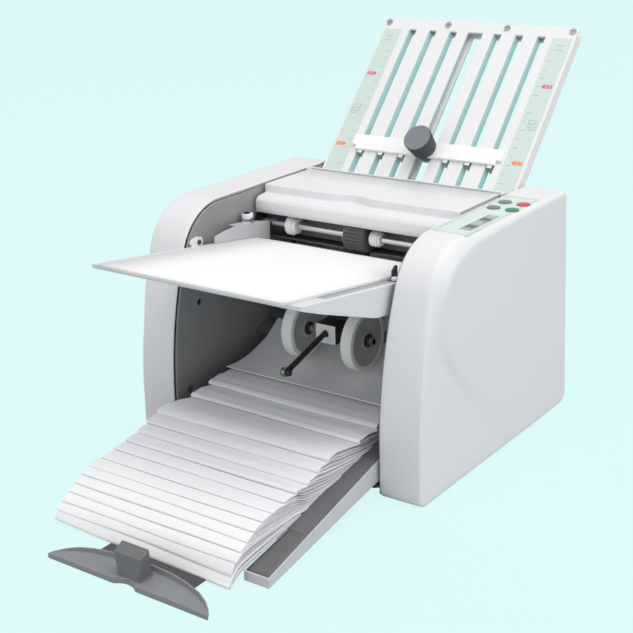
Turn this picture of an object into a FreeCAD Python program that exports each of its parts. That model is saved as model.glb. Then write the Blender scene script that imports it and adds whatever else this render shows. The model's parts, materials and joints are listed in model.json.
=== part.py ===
import FreeCAD, Part
import math
import os

# A desktop paper folding machine, in millimetres.
# Sizes below are given from the side covers' lower front edge: X runs across the machine from its
# middle, Y runs from the covers' front face to the rear, Z runs up from the covers' lower edge.
# The last step moves every piece so that the origin is at the bottom centre of the whole machine.

V = FreeCAD.Vector
X_AXIS = V(1, 0, 0)
Z_AXIS = V(0, 0, 1)
FIT = 0.05                   # radial clearance of a shaft in its hole
GAP = 0.4                    # free play between parts that pass each other
SKIN = 0.3                   # play between a part and what rests or rolls on it

# --- side covers and frames ------------------------------------------------------------------
SHEET_W = 210.0              # width of the sheets that the machine folds
SHEET_SIDE_ROOM = 20.0       # sheet edge to the cover on each side
COVER_W = 46.5               # width of each cover
COVER_H = 238.0              # height of the covers' flat top
COVER_TOP_DEPTH = 288.0      # front face to the rear edge of the top
COVER_REAR_LEAN = 15.0       # how much further back the rear wall is at the bottom
COVER_WALL = 3.0
COVER_LEAN_R = 425.0         # radius by which the front face leans back
COVER_LEAN_DEG = 21.1        # lean of the front face where the crown starts
COVER_CROWN_R = 62.5         # radius from the leaning front to the flat top
COVER_EDGE_R = 8.0           # rounding of the outer edges
COVER_TOE_R = 9.0            # rounding of the lower front corner
COVER_HEEL_R = 12.0          # rounding of the lower rear corner
COVER_REAR_TOP_R = 8.0
FRAME_T = 2.5                # steel side frame
FRAME_INSET = 3.2            # frame edge inside the cover's outline
FOOT_H = 3.0                 # how far the feet lift the covers
FOOT_R = 11.0
FOOT_X = 100.0
FOOT_Y = (30.0, 250.0)
BASE_T = 2.0
BASE_Z = 4.0
BASE_MARGIN_Y = 12.0
TIE_R = 5.0
TIE_NECK_R = 2.6             # reduced ends of the cross rods, held in the frames
TIE_FRONT = (150.0, 20.0)    # cross rods at (y, z)
TIE_REAR = (256.0, 60.0)
SPARE_HOLE_R = 3.5
SCREW_HEAD_R = 3.6
SCREW_HEAD_H = 1.8

# --- fold rollers and drive ----------------------------------------------------------------
ROLLER_R = 14.05
NIP_GAP = 0.4
ROLLER_SIDE_GAP = 8.5        # roller face to the side frame
SHAFT_R = 5.0
NIP_Y = 209.0                # where rollers 1 and 2 take the sheet
NIP_DROP = 60.5              # the same, below the covers' top
ANGLE_1 = 120.0              # direction from roller 2 to its three neighbours
ANGLE_3 = 20.0
ANGLE_4 = -78.0
ROLLER_TEETH = 30
IDLER_TEETH = 28
GEAR_W = 8.0
TOOTH_TOP = 0.75             # tooth height outside the pitch circle
TOOTH_ROOT = 1.0             # gap depth inside the pitch circle
BUSH_R = 9.0
BUSH_FLANGE_R = 11.0
BUSH_FLANGE_T = 1.5
BUSH_L = 6.0
DRIVE_PULLEY_R = 22.0
MOTOR_PULLEY_R = 9.0
PULLEY_W = 9.0
PULLEY_RIM = 1.6
BELT_T = 1.6
BELT_W = 7.0
MOTOR_Y, MOTOR_Z = 190.0, 62.0
MOTOR_R = 30.0
MOTOR_L = 88.0
MOTOR_SHAFT_R = 4.0

# --- feed table and feed roller --------------------------------------------------------------
SHEET_STACK_T = 6.1
FEED_SLOPE_DEG = 7.9         # the table falls towards the rear
STACK_FRONT_Y = -109.0
STACK_DROP = 18.7            # covers' top to the underside of the stack at its front edge
TABLE_SIDE_GAP = 3.5         # table and hood to the side frames
TABLE_FRONT_Y = -104.0
TABLE_FRONT_H = 4.0
TABLE_WALL = 3.0
TABLE_SKIN = 2.5
TABLE_PLATE_T = 1.2
TABLE_PLATE_FRONT_Y = -64.0
TABLE_PLATE_REAR_Y = 128.0
TABLE_PLATE_LEFT, TABLE_PLATE_RIGHT = 12.0, 5.0
TABLE_EAR_Y0, TABLE_EAR_Y1 = 60.0, 90.0
TABLE_EAR_DROP = 64.0
TABLE_EAR_H = 10.0
TABLE_DEEP_DROP = 68.0       # covers' top to the table's lowest edge, at its rear
STACK_REAR_Y = 150.0
RAMP_Y = 118.0               # where the steeper ramp under the feed roller starts
RAMP_DEG = 18.5
FEED_Y = 152.0
FEED_ROLLER_R = 15.5
FEED_ROLLER_W = 26.0
FEED_SHAFT_R = 4.0
COLLARS = [(-90.0, -79.0, 10.0), (-18.0, -15.0, 8.0), (19.0, 33.5, 8.0)]   # ends along X, radius
PAD_HALF_W = 14.0
PAD_REAR_Y = 158.0
GUARD_Y = 170.0
GUARD_DROP = 31.0
GUARD_H = 23.5
SHEET_METAL_T = 1.5
GUIDE_T = 1.5
GUIDE_GAP = 0.5              # each side guide stands this far from the sheets
GUIDE_FACE_RISE = [(56, 10), (73, 14.5), (91, 17.7), (113, 18.4), (128, 21.3), (146, 23.2)]
GUIDE_FLANGE_Y0, GUIDE_FLANGE_Y1 = 91.0, 128.0
GUIDE_FLANGE_INSET = 3.0     # flange edge inside the table's edge
THUMBSCREW_Y = 117.5
THUMBSCREW_R = 5.0
RIGHT_GUIDE_Y0, RIGHT_GUIDE_Y1 = 43.0, 60.0
RIGHT_GUIDE_H = 13.0
RIGHT_GUIDE_INSET = 1.5
SKEW_Y = 46.4
SKEW_DROP = 36.8
SKEW_SCREW_R = 2.6

# --- hood and rear bridge -----------------------------------------------------------------------
HOOD_FRONT_Y = 140.0
HOOD_LIP_DROP = 26.5
HOOD_LEDGE_DROP = 9.5
HOOD_STEP_Y = 157.5
HOOD_REAR_Y = 239.5
HOOD_WALL = 2.5
HOOD_END_DROP = 16.0         # covers' top to the end walls' lower edge towards the rear
SCOOP_X = -8.0               # middle of the finger scoop in the hood's step
SCOOP_HALF_W = 30.0
SCOOP_D = 6.5
HINGE_GAP = 1.5              # hinge axis behind the hood's rear edge
HINGE_DROP = 2.5
HINGE_PIN_R = 1.5
HINGE_EYE_R = 2.6
HINGE_EYE_L = 12.0
BRIDGE_GAP = 3.0             # hinge axis to the bridge's front edge
BRIDGE_T = 2.5
BRIDGE_FLAT = 3.0
BRIDGE_FALL = 10.2           # how far the bridge's rear edge hangs down
BRIDGE_REACH = 15.5
LUG_GAP = 0.6

# --- upper fold plate ---------------------------------------------------------------------------
PLATE_TILT_DEG = 46.7
PLATE_TOP_Y = 410.6
PLATE_RISE = 146.3           # top edge of the plate above the covers' top
PLATE_SIDE_GAP = 0.5
PLATE_T = 13.0
GRILLE_T = 3.0
PLATE_LENGTH = 252.0
PLATE_FRONT_LENGTH = 256.0
SLOT_TOP = 14.0
SLOT_BOTTOM = 216.0
SLOT_W = 9.5
SLOT_WIDE = 19.0
SLOT_FIRST = 28.2
SLOT_PITCH = 26.8
REAR_SLOT_W = 16.0
REAR_SLOT_WIDE = 14.0
RAIL_W = 9.0
PLATE_SCREW_X = 37.5
PLATE_SCREW_INSET = 5.5
PLATE_SCREW_U = 6.0
PLATE_CORNER_R = 4.0
SCALE_W = 23.0
SCALE_INSET = 3.0
SCALE_T = 0.4
SADDLE_U0, SADDLE_U1 = 218.0, 236.0
SADDLE_H = 6.0
STOP_BAR_TOP = 162.0
STOP_BAR_H = 18.0
STOP_BAR_T = 4.0
STOP_BAR_STEP = (6.0, 5.0)   # notch in each lower corner: along the bar, up the plate
STOP_TRAVEL_UP = 140.0
STOP_TRAVEL_DOWN = 20.0
KNOB_R = 14.0
KNOB_H = 26.0
STUD_R = 3.0
STUD_FOOT_R = 10.6
FOOT_PLAY = 1.6              # loosened foot to the back of the grille
FINGER_W = 6.0
FINGER_DROP = 3.5            # how far the fingers show below the bar
STOP_PLAY = 0.2

# --- lower fold plate ------------------------------------------------------------------------
LOWER_TILT_DEG = -66.4
LOWER_SIDE_GAP = 0.7
LOWER_BAR_MARGIN = 21.8      # end of the lower stop bar to the plate's edge
LOWER_TOP_Y = 238.0
LOWER_TOP_DROP = 90.0        # covers' top to the mouth of the lower plate
LOWER_END_Z = 19.7           # height of its closed end
LOWER_GAP = 5.0
LOWER_FRONT_T = 1.5
LOWER_REAR_T = 2.5
LOWER_SLOT_W = 10.0
LOWER_SLOT_MARGIN = (20.0, 8.0)
LOWER_STOP = 84.0
LOWER_BAR_H = 14.0
LOWER_BAR_T = 3.0
LOWER_KNOB_R = 10.0
LOWER_KNOB_H = 16.0

# --- delivery -----------------------------------------------------------------------------------
WHEEL_Y = 108.0
WHEEL_R = 31.5
WHEEL_W = 13.0
WHEEL_INNER_X = 30.0
AXLE_R = 4.0
AXLE_HALF_L = 50.0
WHEEL_HUB_R = 7.0
WHEEL_HUB_W = 17.0
PIVOT_Y = 150.0
PIVOT_DROP = 92.0
PIVOT_R = 3.5
PIVOT_TUBE_R = 7.0
ARM_T = 10.0
YOKE_HALF_W = 12.0
LEVER_R = 3.5
LEVER_END_Y, LEVER_END_Z = 27.0, 91.0
LEVER_ROOT_Y, LEVER_ROOT_Z = 100.0, 111.0
LEVER_KNOB_R, LEVER_KNOB_L = 5.0, 12.0
TRAY_X = 24.0                # the tray stands right of the middle
WING_X = 28.0                # middle of the paper stop
TRAY_FRONT_Y = -178.0
TRAY_REAR_Y = 126.0
TRAY_FRONT_TOP = 6.5
TRAY_MOUTH_TOP = 36.5        # top of the tray at the covers' front
TRAY_FRONT_HALF_W = 107.0
TRAY_REAR_HALF_W = 98.0
TRAY_FLARE_Y = -4.0          # in front of this the tray widens
TRAY_SKIN = 2.5
TRAY_WALL = 3.0
MAT_T = 1.0
MAT_BORDER = 3.0
NOTCH_HALF_W = 81.0
NOTCH_DEPTH = 60.0
TRAY_LEG_Y0, TRAY_LEG_Y1 = 60.0, 110.0
TRAY_LEG_OFF = 50.0
EXTENSION_HALF_W = 55.0
EXTENSION_T = 1.5
EXTENSION_Z = -2.1
CHANNEL_W = 4.0              # side channels under the tray that guide the extension
CHANNEL_Y0, CHANNEL_Y1 = -116.0, -36.0
EXTENSION_FRONT_Y = -232.0
EXTENSION_REAR_Y = -20.0
WING_HALF_W = 90.0
WING_FRONT_Y = -241.0
WING_DEPTH = 28.0
WING_FLOOR_T = 2.4
WING_RIM_T = 3.0
WING_RIM_TOP = 9.0
NOTCH_CHORD, NOTCH_RISE = 24.0, 5.0   # round notch in the wing's front edge
TOWER_TOP_W = 30.0
TOWER_BASE_W = 24.0
TOWER_H = 27.5
TOWER_FRONT_Y, TOWER_REAR_Y = -235.0, -222.0

# --- controls and power ------------------------------------------------------------------------
PANEL_INNER, PANEL_OUTER = 2.5, 6.5   # label's side edges inside the cover's
PANEL_Y0, PANEL_Y1 = 87.5, 236.0
PANEL_T = 0.8
BUTTON_R = 6.5
BUTTON_RISE = 2.0
BUTTON_TRAVEL = 1.0
BUTTON_INSET = (12.0, 5.5)   # button middles inside the label's side edges
BUTTON_Y = (187.0, 211.0)
WINDOW_INSET = 5.0
WINDOW_W = 13.0
WINDOW_Y0, WINDOW_Y1 = 104.0, 162.0
BOARD_T = 1.6
BOARD_DROP = 14.0            # board top below the cover's top
POST_R = 3.5
STEM_R = 2.0
STEM_PLAY = 1.1
SWITCH_CAP = 1.4
INLET_Z = 60.0
INLET_W, INLET_H, INLET_D = 31.0, 24.0, 22.0
SWITCH_Z = 92.0
SWITCH_W, SWITCH_H = 20.0, 13.0

pieces = {}


# ============================== helpers ========================================================
def block(x0, x1, y0, y1, z0, z1):
    """A box between two corners."""
    return Part.makeBox(x1 - x0, y1 - y0, z1 - z0, V(x0, y0, z0))


def bar(x0, x1, y, z, radius):
    """A round bar along X."""
    return Part.makeCylinder(radius, x1 - x0, V(x0, y, z), X_AXIS)


def post(x, y, z0, z1, radius):
    """A round bar along Z."""
    return Part.makeCylinder(radius, z1 - z0, V(x, y, z0), Z_AXIS)


def slab(points, x0, x1):
    """A side outline of (y, z) points, pushed along X."""
    corners = [V(x0, y, z) for y, z in points]
    outline = Part.makePolygon(corners + corners[:1])
    return Part.Face(outline).extrude(V(x1 - x0, 0, 0))


def sheet(points, thickness, x0, x1):
    """Bent sheet metal: a line of (y, z) points thickened on its left-hand side."""
    left = []
    for i, (y, z) in enumerate(points):
        y0, z0 = points[max(i - 1, 0)]
        y1, z1 = points[min(i + 1, len(points) - 1)]
        length = math.hypot(y1 - y0, z1 - z0)
        left.append((y - thickness * (z1 - z0) / length, z + thickness * (y1 - y0) / length))
    return slab(list(points) + left[::-1], x0, x1)


def mirrored(shape):
    """The same piece on the other side of the machine."""
    return shape.mirror(V(0, 0, 0), X_AXIS)


def middle(edge):
    return edge.valueAt((edge.FirstParameter + edge.LastParameter) / 2)


def rounded(shape, radius, wanted):
    """Rounds the edges whose middle point passes the test."""
    return shape.makeFillet(radius, [e for e in shape.Edges if wanted(middle(e))])


def tilted(shape, degrees, y, z):
    """Turns a piece drawn flat, with Y along it and Z off its face, to its tilt and place."""
    turned = shape.copy()
    place = FreeCAD.Placement(V(0, y, z), FreeCAD.Rotation(X_AXIS, degrees))
    turned.Placement = place.multiply(turned.Placement)
    return turned


def polar(y, z, radius, degrees):
    """The (y, z) point at a distance and direction from another."""
    angle = math.radians(degrees)
    return y + radius * math.cos(angle), z + radius * math.sin(angle)


def add(name, *shapes):
    pieces[name] = list(shapes)


# ============================== places worked out from the sizes ==============================
HALF_THROAT = SHEET_W / 2 + SHEET_SIDE_ROOM
HALF_W = HALF_THROAT + COVER_W
COVER_MID = HALF_THROAT + COVER_W / 2
FRAME_IN = HALF_THROAT - FRAME_T
INNER_W = FRAME_IN - FIT
DESK_Z = -FOOT_H
ROLLER_HALF_L = FRAME_IN - ROLLER_SIDE_GAP
TABLE_HALF_W = FRAME_IN - TABLE_SIDE_GAP
PLATE_HALF_W = FRAME_IN - PLATE_SIDE_GAP
LOWER_HALF_W = FRAME_IN - LOWER_SIDE_GAP
NIP_Z = COVER_H - NIP_DROP
STACK_FRONT_Z = COVER_H - STACK_DROP
SKEW_Z = COVER_H - SKEW_DROP
HOOD_LIP_Z = COVER_H - HOOD_LIP_DROP
HOOD_LEDGE_Z = COVER_H - HOOD_LEDGE_DROP
HOOD_END_Z = COVER_H - HOOD_END_DROP
PLATE_TOP_Z = COVER_H + PLATE_RISE
LOWER_TOP_Z = COVER_H - LOWER_TOP_DROP
PANEL_X0, PANEL_X1 = HALF_THROAT + PANEL_INNER, HALF_W - PANEL_OUTER
FEED_SLOPE = math.tan(math.radians(FEED_SLOPE_DEG))
RAMP_SLOPE = math.tan(math.radians(RAMP_DEG))
CENTRES = 2 * ROLLER_R + NIP_GAP
ROLLER_PITCH_R = CENTRES / 2
IDLER_PITCH_R = ROLLER_PITCH_R * IDLER_TEETH / ROLLER_TEETH

ROLLER_2 = polar(NIP_Y, NIP_Z, CENTRES / 2, ANGLE_1 + 180)
ROLLER_1 = polar(*ROLLER_2, CENTRES, ANGLE_1)
ROLLER_3 = polar(*ROLLER_2, CENTRES, ANGLE_3)
ROLLER_4 = polar(*ROLLER_2, CENTRES, ANGLE_4)
ROLLERS = (ROLLER_1, ROLLER_2, ROLLER_3, ROLLER_4)


def bearing_between(here, there):
    """Direction in degrees from one (y, z) point to another."""
    return math.degrees(math.atan2(there[1] - here[1], there[0] - here[0]))


def stack_under(y):
    """Height of the underside of the sheets on the feed table."""
    flat = STACK_FRONT_Z - FEED_SLOPE * (min(y, RAMP_Y) - STACK_FRONT_Y)
    return flat - RAMP_SLOPE * max(y - RAMP_Y, 0)


# The feed roller rests on the sheets where they lie on the ramp.
FEED_Z = stack_under(FEED_Y) + SHEET_STACK_T + (FEED_ROLLER_R + SKIN) * math.hypot(1, RAMP_SLOPE)
FEED = (FEED_Y, FEED_Z)


def idler_centre():
    """The idler meshes with the feed gear and roller 1's gear, above the line between them."""
    reach = ROLLER_PITCH_R + IDLER_PITCH_R
    apart = math.hypot(ROLLER_1[0] - FEED_Y, ROLLER_1[1] - FEED_Z)
    return polar(*FEED, reach, bearing_between(FEED, ROLLER_1) + math.degrees(math.acos(apart / 2 / reach)))


IDLER = idler_centre()


def tray_top(y):
    """Height of the delivery tray's top."""
    rise = (TRAY_MOUTH_TOP - TRAY_FRONT_TOP) / (0 - TRAY_FRONT_Y)
    return TRAY_MOUTH_TOP + rise * y


# Top of the folded sheets, from the front edge of the stream to the rollers' exit.
STREAM_TOP = [(-198, 8), (-190, 14), (-180, 21.5), (-166, 29), (-151, 35), (-136, 39), (-112, 41.5),
              (-95, 43), (-80, 46), (-64, 50), (-48, 54), (0, 56), (30, 62), (57, 67), (124, 76.5)]
STREAM_FRONT_Y = -199.0


def stream_top(y):
    """Height of the folded sheets' top at y."""
    for (y0, z0), (y1, z1) in zip(STREAM_TOP, STREAM_TOP[1:]):
        if y0 <= y <= y1:
            return z0 + (z1 - z0) * (y - y0) / (y1 - y0)
    return STREAM_TOP[-1][1]


STREAM_SLOPE = math.atan2(stream_top(WHEEL_Y + 4) - stream_top(WHEEL_Y - 4), 8)
WHEEL_Z = stream_top(WHEEL_Y) + (WHEEL_R + SKIN) / math.cos(STREAM_SLOPE)


# ============================== side covers ===================================================
def cover_outline(inset):
    """Side outline of a cover, drawn in by a wall: toe, leaning front, crown, top, leaning rear."""
    lean = math.radians(COVER_LEAN_DEG)
    spread = COVER_LEAN_R - COVER_CROWN_R
    lean_z = COVER_H - COVER_CROWN_R - spread * math.sin(lean)
    crown_y = COVER_LEAN_R - spread * math.cos(lean)
    crown_z = COVER_H - COVER_CROWN_R
    lean_r = COVER_LEAN_R - inset
    crown_r = COVER_CROWN_R - inset

    def on_lean(angle):
        return V(0, COVER_LEAN_R - lean_r * math.cos(angle), lean_z + lean_r * math.sin(angle))

    def on_crown(angle):
        return V(0, crown_y - crown_r * math.cos(angle), crown_z + crown_r * math.sin(angle))

    foot = V(0, inset, inset)
    start = on_lean(0)
    knee = on_lean(lean)
    top = on_crown(math.pi / 2)
    rear_top = V(0, COVER_TOP_DEPTH - inset, COVER_H - inset)
    rear_foot = V(0, COVER_TOP_DEPTH + COVER_REAR_LEAN - inset, inset)
    crown_middle = on_crown((lean + math.pi / 2) / 2)
    return Part.Wire([
        Part.LineSegment(foot, start).toShape(),
        Part.Arc(start, on_lean(lean / 2), knee).toShape(),
        Part.Arc(knee, crown_middle, top).toShape(),
        Part.LineSegment(top, rear_top).toShape(),
        Part.LineSegment(rear_top, rear_foot).toShape(),
        Part.LineSegment(rear_foot, foot).toShape(),
    ])


def cover_body(inset, x0, x1, side_round):
    """Solid with the cover's outline, its corners rounded and its outer side edges softened."""
    body = Part.Face(cover_outline(inset)).extrude(V(x1 - x0, 0, 0))
    body.translate(V(x0, 0, 0))
    width_middle = (x0 + x1) / 2
    rear = COVER_TOP_DEPTH

    def corner(y_test, z_test):
        return lambda p: abs(p.x - width_middle) < 0.01 and y_test(p.y) and z_test(p.z)

    body = rounded(body, COVER_TOE_R - inset, corner(lambda y: y < 20, lambda z: z < 20))
    body = rounded(body, COVER_HEEL_R - inset, corner(lambda y: y > rear - 10, lambda z: z < 20))
    body = rounded(body, COVER_REAR_TOP_R - inset,
                   corner(lambda y: y > rear - 10, lambda z: z > COVER_H - 10))
    if side_round:
        body = rounded(body, COVER_EDGE_R - inset, lambda p: p.x > x1 - 0.01)
    return body


def rear_wall_tilt():
    """Lean of the covers' rear wall, in degrees from upright."""
    return math.degrees(math.atan2(COVER_REAR_LEAN, COVER_H))


def on_rear_wall(shape, x, z):
    """Puts a piece drawn on the XZ plane, with +Y outwards, on the right cover's rear wall."""
    y = COVER_TOP_DEPTH + COVER_REAR_LEAN * (COVER_H - z) / COVER_H
    turned = shape.copy()
    place = FreeCAD.Placement(V(x, y, z), FreeCAD.Rotation(X_AXIS, rear_wall_tilt()))
    turned.Placement = place.multiply(turned.Placement)
    return turned


def side_cover():
    """Right cover: a deep shell, open towards the frame."""
    shell = cover_body(0, HALF_THROAT, HALF_W, True)
    return shell.cut(cover_body(COVER_WALL, HALF_THROAT - 1, HALF_W - COVER_WALL, True))


def button_places():
    columns = (PANEL_X0 + BUTTON_INSET[0], PANEL_X1 - BUTTON_INSET[1])
    return [(x, y) for y in BUTTON_Y for x in columns]


WINDOW_X1 = PANEL_X1 - WINDOW_INSET
WINDOW_X0 = WINDOW_X1 - WINDOW_W


def board_posts():
    """Posts under the cover's top that carry the circuit board."""
    z0 = COVER_H - BOARD_DROP
    z1 = COVER_H - COVER_WALL / 2
    return [post(x, y, z0, z1, POST_R)
            for x in (PANEL_X0 + 6, PANEL_X1 - 6) for y in (PANEL_Y0 + 10, PANEL_Y1 - 8)]


def right_cover():
    shell = side_cover()
    shell = shell.fuse(board_posts())
    cuts = [block(PANEL_X0 - GAP, PANEL_X1 + GAP, PANEL_Y0 - GAP, PANEL_Y1 + GAP,
                  COVER_H - PANEL_T, COVER_H + 1)]
    cuts += [post(x, y, COVER_H - 2 * COVER_WALL, COVER_H, BUTTON_R + GAP) for x, y in button_places()]
    cuts.append(block(WINDOW_X0 + 1, WINDOW_X1 - 1, WINDOW_Y0 + 1, WINDOW_Y1 - 1,
                      COVER_H - 2 * COVER_WALL, COVER_H))
    half_w, half_h = INLET_W / 2 + FIT, INLET_H / 2 + FIT
    cuts.append(on_rear_wall(block(-half_w, half_w, -10, 10, -half_h, half_h), COVER_MID, INLET_Z))
    half_w, half_h = SWITCH_W / 2 + FIT, SWITCH_H / 2 + FIT
    cuts.append(on_rear_wall(block(-half_w, half_w, -10, 10, -half_h, half_h), COVER_MID, SWITCH_Z))
    return shell.cut(cuts)


add("right_side_cover", right_cover())
add("left_side_cover", mirrored(side_cover()))


# ============================== frames, base, ties ============================================
def off_plate(u, n):
    """The (y, z) point at u down the upper plate from its top edge and n off its front face."""
    tilt = math.radians(PLATE_TILT_DEG)
    return (PLATE_TOP_Y - u * math.cos(tilt) - n * math.sin(tilt),
            PLATE_TOP_Z - u * math.sin(tilt) + n * math.cos(tilt))


PLATE_TIE = off_plate((SADDLE_U0 + SADDLE_U1) / 2, -PLATE_T - SADDLE_H - 1)
TIES = [TIE_FRONT, PLATE_TIE, TIE_REAR]
FRAME_SCREWS = [(20.3, 50), (120, 30), (252, COVER_H - 16)]
SPARE_HOLE = (45.7, 136.7)
PIVOT = (PIVOT_Y, COVER_H - PIVOT_DROP)


def frame_holes(x0, x1):
    holes = [bar(x0, x1, y, z, BUSH_R + FIT) for y, z in ROLLERS + (FEED,)]
    holes += [bar(x0, x1, y, z, TIE_NECK_R + FIT) for y, z in TIES + [PIVOT]]
    holes.append(bar(x0, x1, *SPARE_HOLE, SPARE_HOLE_R))
    return holes


def side_frame():
    """Right steel frame: the cover's outline, drawn in, with the bearing and tie holes."""
    plate = Part.Face(cover_outline(FRAME_INSET)).extrude(V(FRAME_T, 0, 0))
    plate.translate(V(FRAME_IN, 0, 0))
    return plate.cut(frame_holes(FRAME_IN - 1, HALF_THROAT + 1))


MOTOR_HOLE = bar(FRAME_IN - 1, HALF_THROAT + 1, MOTOR_Y, MOTOR_Z, MOTOR_SHAFT_R + 2)
IDLER_PIN = bar(-HALF_THROAT - GEAR_W - 8, -FRAME_IN, *IDLER, SHAFT_R)
add("right_side_frame", side_frame().cut(MOTOR_HOLE))
add("left_side_frame", mirrored(side_frame()).fuse(IDLER_PIN))

FEET = [(x, y) for x in (-FOOT_X, FOOT_X) for y in FOOT_Y]
add("base_plate", block(-FRAME_IN, FRAME_IN, BASE_MARGIN_Y, COVER_TOP_DEPTH - BASE_MARGIN_Y - BASE_T * 3,
                        BASE_Z, BASE_Z + BASE_T)
    .cut([post(x, y, BASE_Z - 1, BASE_Z + BASE_T + 1, 3) for x, y in FEET]))
add("rubber_feet", *[post(x, y, DESK_Z, BASE_Z, FOOT_R) for x, y in FEET])


def tie_rod(y, z, radius):
    """A cross rod with a reduced neck that sits in each frame."""
    neck = bar(-HALF_THROAT, HALF_THROAT, y, z, TIE_NECK_R)
    return bar(-FRAME_IN + FIT, FRAME_IN - FIT, y, z, radius).fuse(neck)


add("tie_rods", *[tie_rod(y, z, TIE_R) for y, z in TIES], tie_rod(*PIVOT, PIVOT_R))


def screw_heads():
    """Pan-head screws that hold the base flanges and guards to the inner sides of the frames."""
    heads = []
    for y, z in FRAME_SCREWS:
        head = bar(FRAME_IN - SCREW_HEAD_H, FRAME_IN, y, z, SCREW_HEAD_R)
        slot = block(FRAME_IN - SCREW_HEAD_H - 1, FRAME_IN - SCREW_HEAD_H + 0.7, y - 5, y + 5,
                     z - 0.5, z + 0.5)
        heads.append(head.cut(slot))
    return heads + [mirrored(h) for h in heads]


# ============================== gears and rollers =============================================
def gear(y, z, teeth, phase, x0, bore):
    """A spur gear on the X axis; phase is the direction of one tooth, in degrees."""
    pitch_r = ROLLER_PITCH_R * teeth / ROLLER_TEETH
    root_r, tip_r = pitch_r - TOOTH_ROOT, pitch_r + TOOTH_TOP
    root_half = math.degrees(1.0 / root_r)
    tip_half = math.degrees(0.36 / tip_r)
    outline = []
    for i in range(teeth):
        at = phase + 360 * i / teeth
        for radius, turn in ((root_r, -root_half), (tip_r, -tip_half), (tip_r, tip_half),
                             (root_r, root_half)):
            outline.append(polar(y, z, radius, at + turn))
    body = slab(outline, x0, x0 + GEAR_W)
    return body.cut(bar(x0 - 1, x0 + GEAR_W + 1, y, z, bore))


def meshed_phase(here, phase, teeth, there, other_teeth):
    """Tooth direction for the second gear, so that its gap faces the first gear's tooth."""
    toward = bearing_between(here, there)
    offset = (toward - phase) % (360 / teeth)
    return toward + 180 + offset * teeth / other_teeth + 180 / other_teeth


GEAR_X = -HALF_THROAT - GEAR_W - 4
PHASE_2 = 0.0
PHASES = [meshed_phase(ROLLER_2, PHASE_2, ROLLER_TEETH, r, ROLLER_TEETH) for r in ROLLERS]
PHASES[1] = PHASE_2
IDLER_PHASE = meshed_phase(ROLLER_1, PHASES[0], ROLLER_TEETH, IDLER, IDLER_TEETH)
FEED_PHASE = meshed_phase(IDLER, IDLER_PHASE, IDLER_TEETH, FEED, ROLLER_TEETH)


def fold_roller(centre, right_end):
    """Ground roller with a journal at each end, the left one long enough for its gear."""
    face = bar(-ROLLER_HALF_L, ROLLER_HALF_L, *centre, ROLLER_R)
    return face.fuse(bar(GEAR_X - 1, right_end, *centre, SHAFT_R))


PULLEY_X = HALF_THROAT + 5
for index, centre in enumerate(ROLLERS):
    right_end = PULLEY_X + PULLEY_W + 2 if centre == ROLLER_2 else HALF_THROAT + 4
    wheel = gear(*centre, ROLLER_TEETH, PHASES[index], GEAR_X, SHAFT_R)
    add("fold_roller_%d" % (index + 1), fold_roller(centre, right_end), wheel)
add("idler_gear", gear(*IDLER, IDLER_TEETH, IDLER_PHASE, GEAR_X, SHAFT_R + FIT))


def bush(centre, bore):
    """Flanged bearing bush, its flange inside the right frame."""
    sleeve = bar(FRAME_IN - BUSH_FLANGE_T, FRAME_IN - BUSH_FLANGE_T + BUSH_L, *centre, BUSH_R)
    flange = bar(FRAME_IN - BUSH_FLANGE_T, FRAME_IN, *centre, BUSH_FLANGE_R)
    return sleeve.fuse(flange).cut(bar(FRAME_IN - 9, FRAME_IN + 9, *centre, bore + FIT))


BUSHES = [bush(c, SHAFT_R) for c in ROLLERS] + [bush(FEED, FEED_SHAFT_R)]
add("bearing_bushes", *BUSHES, *[mirrored(b) for b in BUSHES])


# ============================== motor and belt ================================================
def pulley(centre, radius, bore):
    """Flat belt pulley with a rim at each side."""
    core = bar(PULLEY_X, PULLEY_X + PULLEY_W, *centre, radius)
    rims = [bar(x, x + 1, *centre, radius + PULLEY_RIM) for x in (PULLEY_X, PULLEY_X + PULLEY_W - 1)]
    return core.fuse(rims).cut(bar(PULLEY_X - 1, PULLEY_X + PULLEY_W + 1, *centre, bore))


def loop_around(first, first_r, second, second_r, x0, x1):
    """Solid bounded by a belt line: two round ends and their common tangents."""
    apart = math.hypot(second[0] - first[0], second[1] - first[1])
    toward = bearing_between(first, second)
    swing = math.degrees(math.acos((first_r - second_r) / apart))
    a1 = polar(*first, first_r, toward + swing)
    a2 = polar(*first, first_r, toward - swing)
    b1 = polar(*second, second_r, toward + swing)
    b2 = polar(*second, second_r, toward - swing)
    far_a = polar(*first, first_r, toward + 180)
    far_b = polar(*second, second_r, toward)
    at = [V(x0, y, z) for y, z in (a1, far_a, a2, b2, far_b, b1)]
    wire = Part.Wire([Part.Arc(at[0], at[1], at[2]).toShape(), Part.LineSegment(at[2], at[3]).toShape(),
                      Part.Arc(at[3], at[4], at[5]).toShape(), Part.LineSegment(at[5], at[0]).toShape()])
    return Part.Face(wire).extrude(V(x1 - x0, 0, 0))


MOTOR = (MOTOR_Y, MOTOR_Z)
BELT_X = PULLEY_X + (PULLEY_W - BELT_W) / 2
BELT_INNER = (DRIVE_PULLEY_R + SKIN, MOTOR_PULLEY_R + SKIN)
BELT_OUTER = (DRIVE_PULLEY_R + SKIN + BELT_T, MOTOR_PULLEY_R + SKIN + BELT_T)
add("drive_pulley", pulley(ROLLER_2, DRIVE_PULLEY_R, SHAFT_R))
add("motor_pulley", pulley(MOTOR, MOTOR_PULLEY_R, MOTOR_SHAFT_R)
    .fuse(bar(FRAME_IN - 4, PULLEY_X + PULLEY_W, *MOTOR, MOTOR_SHAFT_R)))
add("drive_belt",
    loop_around(ROLLER_2, BELT_OUTER[0], MOTOR, BELT_OUTER[1], BELT_X, BELT_X + BELT_W)
    .cut(loop_around(ROLLER_2, BELT_INNER[0], MOTOR, BELT_INNER[1], BELT_X - 1, BELT_X + BELT_W + 1)))


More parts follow.
